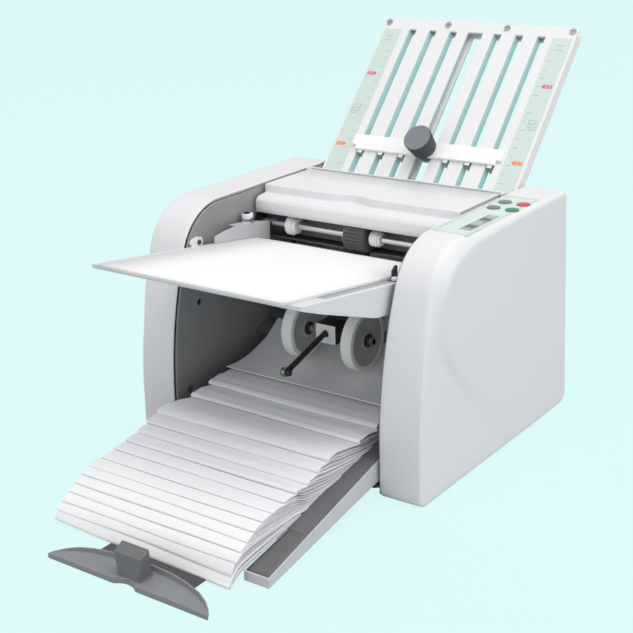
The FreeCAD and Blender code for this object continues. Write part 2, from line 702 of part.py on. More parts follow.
def motor():
    """Round motor can bolted against the inside of the right frame, on a square foot."""
    can = bar(FRAME_IN - MOTOR_L, FRAME_IN, *MOTOR, MOTOR_R)
    can = rounded(can, 3, lambda p: p.x < FRAME_IN - MOTOR_L + 0.01)
    foot = block(FRAME_IN - MOTOR_L + 12, FRAME_IN - 12, MOTOR_Y - 24, MOTOR_Y + 24,
                 BASE_Z + BASE_T, MOTOR_Z)
    well = bar(FRAME_IN - 5, FRAME_IN + 1, *MOTOR, MOTOR_SHAFT_R + FIT)
    return can.fuse(foot).cut(well)


add("drive_motor", motor())


# ============================== feed table ======================================================
def table_top(y):
    """Height of the feed table's top, which is also the top of the plate let into it."""
    return stack_under(y) - FIT


def layer(height, places, thickness, x0, x1):
    """A sheet that follows a height over the given y places, of even thickness upwards."""
    under = [(y, height(y)) for y in places]
    over = [(y, height(y) + thickness) for y in places]
    return slab(under + over[::-1], x0, x1)


TABLE_REAR_Y = STACK_REAR_Y - 1
TABLE_DEEP_Z = COVER_H - TABLE_DEEP_DROP
TABLE_UNDER = [(TABLE_FRONT_Y + 26, TABLE_DEEP_Z + 34.5), (-4, TABLE_DEEP_Z + 8.7), (3, TABLE_DEEP_Z + 6.2),
               (12, TABLE_DEEP_Z + 4), (24, TABLE_DEEP_Z + 2.6), (40, TABLE_DEEP_Z + 2),
               (TABLE_REAR_Y, TABLE_DEEP_Z)]
TABLE_PLATE_X0, TABLE_PLATE_X1 = -TABLE_HALF_W + TABLE_PLATE_LEFT, TABLE_HALF_W - TABLE_PLATE_RIGHT


def feed_table():
    """Wedge-shaped table, hollow from below, its top recessed for the plate."""
    corners = [(y, table_top(y)) for y in (TABLE_FRONT_Y, RAMP_Y, TABLE_REAR_Y)]
    nose = [(TABLE_FRONT_Y, table_top(TABLE_FRONT_Y) - TABLE_FRONT_H)]
    body = slab(corners + TABLE_UNDER[::-1] + nose, -TABLE_HALF_W, TABLE_HALF_W)
    drop = TABLE_PLATE_T + TABLE_SKIN
    roof = [(y, table_top(y) - drop)
            for y in (TABLE_FRONT_Y + 12, RAMP_Y, TABLE_REAR_Y - TABLE_WALL)]
    below = TABLE_DEEP_Z - 20
    open_side = [(TABLE_REAR_Y - TABLE_WALL, below), (TABLE_FRONT_Y + 12, below)]
    inside = TABLE_HALF_W - TABLE_WALL
    recess = layer(lambda y: table_top(y) - TABLE_PLATE_T,
                   (TABLE_PLATE_FRONT_Y - FIT, RAMP_Y, TABLE_PLATE_REAR_Y + FIT), 5,
                   TABLE_PLATE_X0 - FIT, TABLE_PLATE_X1 + FIT)
    ear_z = COVER_H - TABLE_EAR_DROP
    ear = block(TABLE_HALF_W - TABLE_WALL / 2, INNER_W, TABLE_EAR_Y0, TABLE_EAR_Y1,
                ear_z, ear_z + TABLE_EAR_H)
    body = body.cut([slab(roof + open_side, -inside, inside), recess])
    return body.fuse([ear, mirrored(ear)])


add("feed_table", feed_table())
add("feed_table_plate", layer(lambda y: table_top(y) - TABLE_PLATE_T,
                              (TABLE_PLATE_FRONT_Y, RAMP_Y, TABLE_PLATE_REAR_Y), TABLE_PLATE_T,
                              TABLE_PLATE_X0, TABLE_PLATE_X1))
add("paper_stack", layer(stack_under, (STACK_FRONT_Y, RAMP_Y, STACK_REAR_Y), SHEET_STACK_T,
                         -SHEET_W / 2, SHEET_W / 2))


# ============================== side guides and skew lever ====================================
GUIDE_FACE = SHEET_W / 2 + GUIDE_GAP
LEFT_GUIDE_TOP = [(y, table_top(y) + rise) for y, rise in GUIDE_FACE_RISE]
FLANGE_X = -TABLE_HALF_W + GUIDE_FLANGE_INSET
THUMBSCREW_X = FLANGE_X + THUMBSCREW_R / 2


def guide_top(y):
    """Height of the left guide's top edge."""
    for (y0, z0), (y1, z1) in zip(LEFT_GUIDE_TOP, LEFT_GUIDE_TOP[1:]):
        if y0 <= y <= y1:
            return z0 + (z1 - z0) * (y - y0) / (y1 - y0)


def left_guide():
    """Upright face beside the sheets with a flange turned outwards along its top."""
    foot = [(y, table_top(y) + SKIN) for y in (GUIDE_FACE_RISE[-1][0], RAMP_Y, GUIDE_FACE_RISE[0][0])]
    face = slab(LEFT_GUIDE_TOP + foot, -GUIDE_FACE - GUIDE_T, -GUIDE_FACE)
    places = (GUIDE_FLANGE_Y0, 113, GUIDE_FLANGE_Y1)
    flange = layer(lambda y: guide_top(y) - GUIDE_T, places, GUIDE_T, FLANGE_X, -GUIDE_FACE)
    z = guide_top(THUMBSCREW_Y)
    hole = post(THUMBSCREW_X, THUMBSCREW_Y, z - 9, z + 9, STEM_R + FIT)
    return face.fuse(flange).cut(hole)


def thumbscrew():
    """Knurled screw that clamps the left guide's flange against the table."""
    z = guide_top(THUMBSCREW_Y) + SKIN
    head = post(THUMBSCREW_X, THUMBSCREW_Y, z + 2.2, z + 9, THUMBSCREW_R)
    washer = post(THUMBSCREW_X, THUMBSCREW_Y, z, z + 1.2, THUMBSCREW_R + 0.6)
    shank = post(THUMBSCREW_X, THUMBSCREW_Y, table_top(THUMBSCREW_Y - STEM_R) + SKIN, z + 3, STEM_R)
    flats = [post(THUMBSCREW_X + (THUMBSCREW_R + 0.6) * math.cos(a), THUMBSCREW_Y
                  + (THUMBSCREW_R + 0.6) * math.sin(a), z + 2, z + 10, 1.2)
             for a in [math.radians(30 * i) for i in range(12)]]
    return head.cut(flats).fuse([washer, shank])


def right_guide():
    """Short dark guide: an upright face and a foot on the table, held by one screw."""
    y0, y1 = RIGHT_GUIDE_Y0, RIGHT_GUIDE_Y1
    foot_top = table_top(y0) + SKIN + GUIDE_T
    top = table_top(y0) + RIGHT_GUIDE_H
    outline = [(y0, table_top(y0) + SKIN), (y0, top - 3), (y0 + 3, top), (y1, top - 1),
               (y1, table_top(y1) + SKIN)]
    face = slab(outline, GUIDE_FACE, GUIDE_FACE + GUIDE_T)
    foot = slab([(y0, table_top(y0) + SKIN), (y0, foot_top), (y1, foot_top),
                 (y1, table_top(y1) + SKIN)], GUIDE_FACE, TABLE_HALF_W - RIGHT_GUIDE_INSET)
    return face.fuse(foot)


def right_guide_screw():
    x = (GUIDE_FACE + GUIDE_T + TABLE_HALF_W - RIGHT_GUIDE_INSET) / 2
    y = (RIGHT_GUIDE_Y0 + RIGHT_GUIDE_Y1) / 2
    z = table_top(RIGHT_GUIDE_Y0) + SKIN + GUIDE_T
    head = post(x, y, z, z + 3, 3.6)
    return head.cut(block(x - 0.5, x + 0.5, y - 5, y + 5, z + 1.8, z + 4))


def skew_lever():
    """Small lever on the left frame that sets the table's skew; it swings on its screw."""
    x0, x1 = -FRAME_IN + SKIN, -TABLE_HALF_W - SKIN
    outline = [(SKEW_Y - 11, SKEW_Z - 2.5), (SKEW_Y - 12, SKEW_Z + 1), (SKEW_Y - 9, SKEW_Z + 4.5),
               (SKEW_Y - 1, SKEW_Z + 5.5), (SKEW_Y + 5, SKEW_Z + 4), (SKEW_Y + 6.5, SKEW_Z),
               (SKEW_Y + 4, SKEW_Z - 5), (SKEW_Y - 2, SKEW_Z - 5.5)]
    return slab(outline, x0, x1)


SKEW_SCREW = bar(-TABLE_HALF_W - SKIN, -TABLE_HALF_W + 1, SKEW_Y, SKEW_Z, SKEW_SCREW_R)
add("left_paper_guide", left_guide(), thumbscrew())
add("right_paper_guide", right_guide(), right_guide_screw())
add("skew_lever", skew_lever(), SKEW_SCREW)


# ============================== feed shaft and sheet guides ===================================
def ring(x0, x1, centre, outer, inner):
    """A collar along X."""
    return bar(x0, x1, *centre, outer).cut(bar(x0 - 1, x1 + 1, *centre, inner))


FEED_SHAFT = bar(GEAR_X - 1, HALF_THROAT + 4, *FEED, FEED_SHAFT_R)
HALF_FEED = FEED_ROLLER_W / 2
add("feed_shaft", FEED_SHAFT, gear(*FEED, ROLLER_TEETH, FEED_PHASE, GEAR_X, FEED_SHAFT_R))
add("feed_roller", ring(-HALF_FEED, HALF_FEED, FEED, FEED_ROLLER_R, FEED_SHAFT_R))
add("feed_shaft_collars",
    *[ring(x0, x1, FEED, r, FEED_SHAFT_R) for x0, x1, r in COLLARS])


def separator_pad():
    """Friction pad behind the stack, close under the feed roller, on a foot below the table."""
    front = STACK_REAR_Y + SKIN
    play = FEED_ROLLER_R + 2 * SKIN

    def crest(y):
        return FEED_Z - math.sqrt(play ** 2 - (y - FEED_Y) ** 2)

    places = [front, (front + PAD_REAR_Y) / 2, PAD_REAR_Y]
    foot_y, foot_z = TABLE_REAR_Y - 10, TABLE_DEEP_Z - 3.5
    outline = [(y, crest(y)) for y in places] + [(PAD_REAR_Y, foot_z), (foot_y, foot_z),
                                                  (foot_y, TABLE_DEEP_Z), (front, TABLE_DEEP_Z)]
    return slab(outline, -PAD_HALF_W, PAD_HALF_W)


INFEED = [(PAD_REAR_Y + 1, NIP_Z + 4.5), (180, NIP_Z + 0.5), (197, NIP_Z - 2.7)]
GUARD_Z1 = COVER_H - GUARD_DROP
GUARD = block(-INNER_W, INNER_W, GUARD_Y, GUARD_Y + SHEET_METAL_T, GUARD_Z1 - GUARD_H, GUARD_Z1)
CHUTE_FRONT = [(152, NIP_Z - 76.5), (170, NIP_Z - 49.5), (203, NIP_Z - 24.5)]
CHUTE_REAR = [(206, NIP_Z - 34.5), (178, NIP_Z - 60.5), (158, 88), (135, STREAM_TOP[-1][1] + 1)]
add("separator_pad", separator_pad())
add("guard_plate", GUARD, sheet(INFEED[::-1], SHEET_METAL_T, -INNER_W, INNER_W))
add("exit_chute", sheet(CHUTE_FRONT, SHEET_METAL_T, -INNER_W, INNER_W),
    sheet(CHUTE_REAR, SHEET_METAL_T, -INNER_W, INNER_W))


# ============================== hood and rear bridge ==========================================
HINGE = (HOOD_REAR_Y + HINGE_GAP, COVER_H - HINGE_DROP)
HOOD_HALF_W = TABLE_HALF_W


def scoop_round(grow, z0, z1):
    """Upright round through the scoop's two ends and its deepest point, grown by a wall."""
    radius = (SCOOP_HALF_W ** 2 + SCOOP_D ** 2) / (2 * SCOOP_D)
    return post(SCOOP_X, HOOD_STEP_Y + SCOOP_D - radius, z0, z1, radius + grow)


def hood():
    """Cover over the feed roller: a rounded front lip, a ledge, a step up and a flat top."""
    wall = HOOD_WALL
    y0, ledge, step, top = HOOD_FRONT_Y, HOOD_LEDGE_Z, HOOD_STEP_Y, COVER_H
    outer = [(y0, HOOD_LIP_Z), (y0 - 0.6, ledge - 9.5), (y0, ledge - 4.6), (y0 + 2.8, ledge - 1.9),
             (y0 + 10, ledge), (step - 0.5, ledge + 0.4), (step, top), (HOOD_REAR_Y, top),
             (HOOD_REAR_Y, HOOD_END_Z), (step + 8, HOOD_END_Z - 6), (y0 + 4, HOOD_LIP_Z)]
    inner = [(y0 + wall, HOOD_LIP_Z - 5), (y0 + wall - 0.6, ledge - 9.5),
             (y0 + wall, ledge - 5.4), (y0 + wall + 1.4, ledge - 4.2), (y0 + 10, ledge - wall),
             (step + wall - 0.4, ledge + 0.4 - wall), (step + wall, top - wall),
             (HOOD_REAR_Y + 5, top - wall), (HOOD_REAR_Y + 5, HOOD_LIP_Z - 5)]
    body = slab(outer, -HOOD_HALF_W, HOOD_HALF_W)
    body = body.cut(slab(inner, -HOOD_HALF_W + wall, HOOD_HALF_W - wall))
    behind = block(-HOOD_HALF_W, HOOD_HALF_W, step, HOOD_REAR_Y, HOOD_LIP_Z, top)
    ahead = block(-HOOD_HALF_W, HOOD_HALF_W, y0 + 10, HOOD_REAR_Y, HOOD_LIP_Z, top + 1)
    body = body.fuse(scoop_round(wall, ledge + 0.4 - wall, top).common(behind))
    body = body.cut(scoop_round(0, ledge + 0.4, top + 1).common(ahead))
    eye = bar(HOOD_HALF_W - HINGE_EYE_L, HOOD_HALF_W, *HINGE, HINGE_EYE_R)
    bore = bar(HOOD_HALF_W - HINGE_EYE_L, HOOD_HALF_W + 1, *HINGE, HINGE_PIN_R + FIT)
    return body.fuse([eye, mirrored(eye)]).cut([bore, mirrored(bore)])


def rear_bridge():
    """Bent sheet between the frames behind the hood, with a lug for each hinge pin."""
    hinge_y, hinge_z = HINGE
    y0, top = hinge_y + BRIDGE_GAP, COVER_H + 0.2
    rear, low = y0 + BRIDGE_REACH, top - BRIDGE_FALL
    outline = [(y0, top), (y0 + BRIDGE_FLAT, top), (rear, low), (rear - 1.5, low - 2),
               (y0 + BRIDGE_FLAT - 0.8, top - BRIDGE_T), (y0, top - BRIDGE_T)]
    lug_x = HOOD_HALF_W + LUG_GAP
    lug = block(lug_x, INNER_W, hinge_y - 3, y0 + 2, hinge_z - 3.2, top)
    lug = lug.cut(bar(lug_x - 1, INNER_W + 1, *HINGE, HINGE_PIN_R))
    return slab(outline, -INNER_W, INNER_W).fuse([lug, mirrored(lug)])


PIN = bar(HOOD_HALF_W - HINGE_EYE_L + 1, INNER_W, *HINGE, HINGE_PIN_R)
add("hood", hood())
add("rear_bridge", rear_bridge())
add("hood_hinge_pins", PIN, mirrored(PIN))


# ============================== upper fold plate ==============================================
SLOT_X = [0.0]
for step_no in range(3):
    SLOT_X += [SLOT_FIRST + step_no * SLOT_PITCH, -SLOT_FIRST - step_no * SLOT_PITCH]


def on_plate(shape):
    """From flat, Y up the plate from its top edge and Z off its front, to its place."""
    return tilted(shape, PLATE_TILT_DEG, PLATE_TOP_Y, PLATE_TOP_Z)


def slot(x, width, u_top, u_bottom, z0, z1):
    """A square-ended slot through a plate."""
    return block(x - width / 2, x + width / 2, -u_bottom, -u_top, z0, z1)


def grille(z0, length, widths):
    """One face of the fold plate, with a slot at each stop finger's place."""
    body = block(-PLATE_HALF_W, PLATE_HALF_W, -length, 0, z0, z0 + GRILLE_T)
    body = rounded(body, PLATE_CORNER_R,
                   lambda p: abs(p.z - z0 - GRILLE_T / 2) < 0.01 and abs(p.x) > PLATE_HALF_W - 1
                   and p.y > -1)
    cuts = [slot(x, w, SLOT_TOP, SLOT_BOTTOM, z0 - 1, z0 + GRILLE_T + 1)
            for x, w in zip(SLOT_X, widths)]
    return body.cut(cuts)


def plate_rails():
    """Spacers between the two grilles: a rail at each side and a bar along the top."""
    z0, z1 = -PLATE_T + GRILLE_T, -GRILLE_T
    rail = block(PLATE_HALF_W - RAIL_W, PLATE_HALF_W, -PLATE_LENGTH, -RAIL_W, z0, z1)
    top = block(-PLATE_HALF_W + PLATE_CORNER_R, PLATE_HALF_W - PLATE_CORNER_R, -RAIL_W, -1, z0, z1)
    return rail.fuse([mirrored(rail), top])


TIE_CUT = bar(-FRAME_IN, FRAME_IN, *PLATE_TIE, TIE_R + FIT)


def saddle(x0, x1):
    """Hook behind the rear grille that sits on the cross rod."""
    return on_plate(block(x0, x1, -SADDLE_U1, -SADDLE_U0, -PLATE_T - SADDLE_H, -PLATE_T)).cut(TIE_CUT)


REAR_WIDTHS = [REAR_SLOT_WIDE] + [REAR_SLOT_W] * 6
FRONT_WIDTHS = [SLOT_WIDE] + [SLOT_W] * 6
REAR_GRILLE = on_plate(grille(-PLATE_T, PLATE_LENGTH, REAR_WIDTHS))
add("upper_plate_front", on_plate(grille(-GRILLE_T, PLATE_FRONT_LENGTH, FRONT_WIDTHS)))
add("upper_plate_back", REAR_GRILLE.fuse([saddle(66, 78), saddle(-78, -66)]), on_plate(plate_rails()))
SCALE_OUTER_X = PLATE_HALF_W - SCALE_INSET
SCALE_INNER_X = SCALE_OUTER_X - SCALE_W
STRIP = block(SCALE_INNER_X, SCALE_OUTER_X, -SLOT_BOTTOM + 2, -SLOT_TOP - 1, 0, SCALE_T)
add("upper_scale_strips", on_plate(STRIP), on_plate(mirrored(STRIP)))


def plate_screws():
    heads = []
    for x in (PLATE_SCREW_X, PLATE_HALF_W - PLATE_SCREW_INSET):
        head = post(x, -PLATE_SCREW_U, 0, SCREW_HEAD_H, SCREW_HEAD_R)
        head = head.cut(block(x - 5, x + 5, -PLATE_SCREW_U - 0.5, -PLATE_SCREW_U + 0.5,
                              SCREW_HEAD_H - 0.7, SCREW_HEAD_H + 1))
        heads += [on_plate(head), on_plate(mirrored(head))]
    return heads


add("assembly_screws", *screw_heads(), *plate_screws())

STOP_MID = -STOP_BAR_TOP - STOP_BAR_H / 2
STOP_LOW = -STOP_BAR_TOP - STOP_BAR_H
STOP_BAR_HALF_W = SCALE_INNER_X - 2


def upper_stop_bar():
    """Bar across the front of the plate with a finger through every outer slot."""
    bar_body = block(-STOP_BAR_HALF_W, STOP_BAR_HALF_W, STOP_LOW, -STOP_BAR_TOP,
                     STOP_PLAY, STOP_PLAY + STOP_BAR_T)
    step_x, step_y = STOP_BAR_STEP
    step = block(STOP_BAR_HALF_W - step_x, STOP_BAR_HALF_W + 1, STOP_LOW - 1, STOP_LOW + step_y,
                 STOP_PLAY - 1, STOP_PLAY + STOP_BAR_T + 1)
    bar_body = bar_body.cut([step, mirrored(step)])
    depth = -PLATE_T + GRILLE_T / 2
    fingers = [block(x - FINGER_W / 2, x + FINGER_W / 2, STOP_LOW - FINGER_DROP, STOP_MID, depth,
                     STOP_PLAY + 1) for x in SLOT_X[1:]]
    hole = post(0, STOP_MID, -1, STOP_BAR_T + 2, STUD_R + FIT)
    return bar_body.fuse(fingers).cut(hole)


def clamp_knob(radius, height, base, stud_end, foot_r, foot_z0, foot_z1):
    """Knob with a scalloped rim, its stud and the foot that grips behind the plate."""
    head = post(0, 0, base, base + height, radius)
    scallops = [post((radius + 1.4) * math.cos(a), (radius + 1.4) * math.sin(a), base - 1,
                     base + height + 1, 2.6) for a in [math.radians(36 * i) for i in range(10)]]
    stud = post(0, 0, stud_end, base + 1, STUD_R)
    return head.cut(scallops).fuse([stud, post(0, 0, foot_z0, foot_z1, foot_r)])


def moved(shape, x, y, z):
    copy = shape.copy()
    copy.translate(V(x, y, z))
    return copy


KNOB_BASE = STOP_PLAY + STOP_BAR_T + STOP_PLAY
UPPER_KNOB = clamp_knob(KNOB_R, KNOB_H, KNOB_BASE, -8, STUD_FOOT_R, -8, -GRILLE_T - FOOT_PLAY)
add("upper_stop_bar", on_plate(upper_stop_bar()))
add("upper_stop_knob", on_plate(moved(UPPER_KNOB, 0, STOP_MID, 0)))


# ============================== lower fold plate ==============================================
def on_lower(shape):
    """From flat, Y down the plate from its mouth and Z off its rear face, to its place."""
    return tilted(shape, LOWER_TILT_DEG, LOWER_TOP_Y, LOWER_TOP_Z)


HALF_GAP = LOWER_GAP / 2
LOWER_LENGTH = (LOWER_TOP_Z - LOWER_END_Z) / math.sin(math.radians(-LOWER_TILT_DEG))
LOWER_FRONT = block(-LOWER_HALF_W, LOWER_HALF_W, 0, LOWER_LENGTH, -HALF_GAP - LOWER_FRONT_T, -HALF_GAP)
LOWER_REAR = block(-LOWER_HALF_W, LOWER_HALF_W, 0, LOWER_LENGTH, HALF_GAP, HALF_GAP + LOWER_REAR_T)
LOWER_RAIL = block(LOWER_HALF_W - RAIL_W, LOWER_HALF_W, 0, LOWER_LENGTH, -HALF_GAP, HALF_GAP)
LOWER_CUT = slot(0, LOWER_SLOT_W, -LOWER_LENGTH + LOWER_SLOT_MARGIN[1], -LOWER_SLOT_MARGIN[0],
                 HALF_GAP - 1, HALF_GAP + 5)
LOWER_MID = LOWER_STOP + LOWER_BAR_H / 2
LOWER_BAR_HALF_W = LOWER_HALF_W - LOWER_BAR_MARGIN
LOWER_BAR = block(-LOWER_BAR_HALF_W, LOWER_BAR_HALF_W, LOWER_STOP, LOWER_STOP + LOWER_BAR_H,
                  -LOWER_BAR_T / 2, LOWER_BAR_T / 2)
LOWER_BAR = LOWER_BAR.cut(post(0, LOWER_MID, -5, 5, STUD_R + FIT))
LOWER_FACE = HALF_GAP + LOWER_REAR_T + SKIN
LOWER_KNOB = clamp_knob(LOWER_KNOB_R, LOWER_KNOB_H, LOWER_FACE, -LOWER_BAR_T / 2, STUD_R,
                        -LOWER_BAR_T / 2, LOWER_FACE + 1)
add("lower_plate_front", on_lower(LOWER_FRONT))
add("lower_plate_back", on_lower(LOWER_REAR.cut(LOWER_CUT)), on_lower(LOWER_RAIL),
    on_lower(mirrored(LOWER_RAIL)))
add("lower_stop_bar", on_lower(LOWER_BAR))
add("lower_stop_knob", on_lower(moved(LOWER_KNOB, 0, LOWER_MID, 0)))


# ============================== delivery press =================================================
AXLE = (WHEEL_Y, WHEEL_Z)


def press_yoke():
    """Yoke block on the axle, with an arm up to the tube on the pivot rod."""
    y, z = AXLE
    block_part = block(-YOKE_HALF_W, YOKE_HALF_W, y - 13, y + 8, z - 7, z + 13)
    toward = bearing_between(AXLE, PIVOT)
    reach = math.hypot(PIVOT[0] - y, PIVOT[1] - z)
    half = ARM_T / 2
    arm = [polar(*polar(y, z, d, toward), half, toward + s)
           for d, s in ((0, -90), (reach, -90), (reach, 90), (0, 90))]
    tube = bar(-YOKE_HALF_W, YOKE_HALF_W, *PIVOT, PIVOT_TUBE_R)
    solid = block_part.fuse([slab(arm, -YOKE_HALF_W, YOKE_HALF_W), tube])
    return solid.cut([bar(-20, 20, *PIVOT, PIVOT_R + FIT), bar(-20, 20, *AXLE, AXLE_R)])


def press_wheel():
    """Disc wheel with a wider hub, turning on the axle."""
    hub_x = WHEEL_INNER_X - (WHEEL_HUB_W - WHEEL_W) / 2
    rim = bar(WHEEL_INNER_X, WHEEL_INNER_X + WHEEL_W, *AXLE, WHEEL_R)
    hub = bar(hub_x, hub_x + WHEEL_HUB_W, *AXLE, WHEEL_HUB_R)
    return rim.fuse(hub).cut(bar(0, 60, *AXLE, AXLE_R + FIT))


def press_lever():
    """Round lever from the yoke towards the front, with a round grip across its end."""
    start = V(0, LEVER_ROOT_Y, LEVER_ROOT_Z)
    way = V(0, LEVER_END_Y - LEVER_ROOT_Y, LEVER_END_Z - LEVER_ROOT_Z)
    rod = Part.makeCylinder(LEVER_R, way.Length, start, way)
    knob = bar(-LEVER_KNOB_L / 2, LEVER_KNOB_L / 2, LEVER_END_Y, LEVER_END_Z, LEVER_KNOB_R)
    return rod.fuse(knob)


YOKE = press_yoke()
LEVER = press_lever()
add("press_yoke", YOKE.cut(LEVER), bar(-AXLE_HALF_L, AXLE_HALF_L, *AXLE, AXLE_R))
add("press_lever", LEVER)
add("right_press_wheel", press_wheel())
add("left_press_wheel", mirrored(press_wheel()))


# ============================== delivery tray ==================================================
def flat_shape(points, z0, z1):
    """A plan outline of (x, y) points, pushed along Z."""
    corners = [V(x, y, z0) for x, y in points]
    return Part.Face(Part.makePolygon(corners + corners[:1])).extrude(V(0, 0, z1 - z0))


def tray_plan(inset):
    """Plan outline of the tray, drawn in by a wall: straight inside the machine, flared in front."""
    front, rear = TRAY_FRONT_HALF_W - inset, TRAY_REAR_HALF_W - inset
    y0, y1 = TRAY_FRONT_Y + inset, TRAY_REAR_Y - inset
    return [(TRAY_X - front, y0), (TRAY_X + front, y0), (TRAY_X + rear, TRAY_FLARE_Y),
            (TRAY_X + rear, y1), (TRAY_X - rear, y1), (TRAY_X - rear, TRAY_FLARE_Y)]


def under_tray(drop):
    """Solid from far below up to the tray's top, lowered by the given drop."""
    y0, y1 = TRAY_FRONT_Y - 5, TRAY_REAR_Y + 5
    return slab([(y0, -20), (y0, tray_top(y0) - drop), (y1, tray_top(y1) - drop), (y1, -20)],
                -HALF_W, HALF_W)


TRAY_UNDER = [(TRAY_FRONT_Y - 1, -2.7), (0, 16), (40, 24), (TRAY_REAR_Y + 1, 50)]
NOTCH = block(TRAY_X - NOTCH_HALF_W, TRAY_X + NOTCH_HALF_W, TRAY_FRONT_Y - 5,
              TRAY_FRONT_Y + NOTCH_DEPTH, -20, 60)


def channel(side):
    """Guide channel under the tray: a wall with a lip above and below the extension's edge."""
    edge = EXTENSION_HALF_W + GAP
    low, high = EXTENSION_Z - SKIN, EXTENSION_Z + EXTENSION_T + SKIN
    y0, y1 = CHANNEL_Y0, CHANNEL_Y1
    wall = slab([(y0, DESK_Z + 0.1), (y0, tray_top(y0) - MAT_T - 1), (y1, tray_top(y1) - MAT_T - 1),
                 (y1, DESK_Z + 0.1)], edge, edge + CHANNEL_W)
    lips = [block(edge - CHANNEL_W, edge + 1, y0, y1, DESK_Z + 0.1, low),
            block(edge - CHANNEL_W, edge + 1, y0, y1, high, high + 2)]
    made = wall.fuse(lips)
    if side < 0:
        made = mirrored(made)
    return moved(made, TRAY_X, 0, 0)


def delivery_tray():
    """Sloping tray, hollow from below, with two front arms, a recessed top and two rear legs."""
    whole = flat_shape(tray_plan(0), -20, 90).common(under_tray(0))
    floor_cut = slab(TRAY_UNDER + [(TRAY_REAR_Y + 1, -30), (TRAY_FRONT_Y - 1, -30)], -HALF_W, HALF_W)
    body = whole.cut([floor_cut, NOTCH])
    inner = flat_shape(tray_plan(TRAY_WALL), -20, 90).common(under_tray(TRAY_SKIN + MAT_T))
    near_notch = block(TRAY_X - NOTCH_HALF_W - TRAY_WALL, TRAY_X + NOTCH_HALF_W + TRAY_WALL,
                       TRAY_FRONT_Y - 5, TRAY_FRONT_Y + NOTCH_DEPTH + TRAY_WALL, -30, 60)
    body = body.cut(inner.cut(near_notch))
    legs = []
    for x in (TRAY_X - TRAY_LEG_OFF, TRAY_X + TRAY_LEG_OFF):
        y0, y1 = TRAY_LEG_Y0, TRAY_LEG_Y1
        base = BASE_Z + BASE_T + FIT
        legs.append(slab([(y0, base), (y0, tray_top(y0) - MAT_T - 1), (y1, tray_top(y1) - MAT_T - 1),
                          (y1, base)], x - 2, x + 2))
    body = body.fuse(legs + [channel(1), channel(-1)])
    return body.cut(mat_block(FIT, 5))


def mat_block(grow, extra):
    """The mat's shape, or its recess when grown."""
    margin = MAT_BORDER - grow
    plan = flat_shape(tray_plan(margin), -20, 90)
    top = under_tray(-extra) if extra else under_tray(0)
    around = block(TRAY_X - NOTCH_HALF_W - margin, TRAY_X + NOTCH_HALF_W + margin, TRAY_FRONT_Y - 5,
                   TRAY_FRONT_Y + NOTCH_DEPTH + margin, -30, 60)
    return plan.common(top).cut(under_tray(MAT_T)).cut(around)


add("delivery_tray", delivery_tray())
add("tray_mat", mat_block(0, 0))


# ============================== extension and paper stop ======================================
add("extension_plate", block(TRAY_X - EXTENSION_HALF_W, TRAY_X + EXTENSION_HALF_W, EXTENSION_FRONT_Y,
                             EXTENSION_REAR_Y, EXTENSION_Z, EXTENSION_Z + EXTENSION_T))
WING_REAR = WING_FRONT_Y + WING_DEPTH
RIM_LINE = [(0.0, 0.0), (0.33, -1.5), (0.55, -5), (0.75, -10), (0.87, -15.5), (0.955, -21.5),
            (1.0, -26)]


def wing_line(inset):
    """Rear edge of the wing, from its left tip to its right tip."""
    right = [(WING_X + (WING_HALF_W - inset) * k, WING_REAR - inset + d) for k, d in RIM_LINE]
    left = [(2 * WING_X - x, y) for x, y in right[1:]]
    return left[::-1] + right


def stop_wing():
    """Wing-shaped stop: a floor, a lip in front, a raised rear rim and a flared grip."""
    floor_z = EXTENSION_Z + EXTENSION_T + SKIN
    x0, x1 = WING_X - WING_HALF_W, WING_X + WING_HALF_W
    front = [(x1, WING_FRONT_Y), (x0, WING_FRONT_Y)]
    floor = flat_shape(wing_line(0) + front, floor_z, floor_z + WING_FLOOR_T)
    lip = block(x0, x1, WING_FRONT_Y, EXTENSION_FRONT_Y - 1, DESK_Z + 0.1, floor_z + 1)
    rim = flat_shape(wing_line(0) + front, floor_z, WING_RIM_TOP)
    hollow = flat_shape(wing_line(WING_RIM_T) + [(x1 + 5, WING_FRONT_Y + 1.6),
                                                (x1 + 5, WING_FRONT_Y - 1),
                                                (x0 - 5, WING_FRONT_Y - 1),
                                                (x0 - 5, WING_FRONT_Y + 1.6)], floor_z - 1, 40)
    rim = rim.cut(hollow)
    radius = (NOTCH_CHORD ** 2 / 4 + NOTCH_RISE ** 2) / (2 * NOTCH_RISE)
    notch = post(WING_X, WING_FRONT_Y + NOTCH_RISE - radius, DESK_Z - 1, WING_RIM_TOP, radius)
    return floor.fuse([lip, rim]).cut(notch).fuse(tower(floor_z))


def tower(floor_z):
    """Grip of the stop: wider at its top, its top sloping up to the rear."""
    side = slab([(TOWER_FRONT_Y, floor_z), (TOWER_FRONT_Y, TOWER_H - 3), (TOWER_REAR_Y - 2, TOWER_H + 2),
                 (TOWER_REAR_Y + 3, floor_z)], WING_X - 30, WING_X + 30)
    half_low, half_high = TOWER_BASE_W / 2, TOWER_TOP_W / 2
    y0, y1 = TOWER_FRONT_Y - 5, TOWER_REAR_Y + 10
    corners = [V(WING_X - half_low, y0, floor_z), V(WING_X + half_low, y0, floor_z),
               V(WING_X + half_high, y0, TOWER_H + 5), V(WING_X - half_high, y0, TOWER_H + 5)]
    face = Part.Face(Part.makePolygon(corners + corners[:1])).extrude(V(0, y1 - y0, 0))
    return side.common(face)


add("stop_wing", stop_wing())


def folded_sheets():
    """The stream of folded sheets lying on the tray, as one closed body."""
    under_front = EXTENSION_Z + EXTENSION_T + SKIN
    under = [(STREAM_FRONT_Y, under_front + 0.4), (TRAY_FRONT_Y - 1, tray_top(TRAY_FRONT_Y) + SKIN),
             (124, tray_top(124) + FIT)]
    return slab(STREAM_TOP + under[::-1], -SHEET_W / 2, SHEET_W / 2)


add("folded_sheets", folded_sheets())


# ============================== controls and power ============================================
BOARD_Z = COVER_H - BOARD_DROP


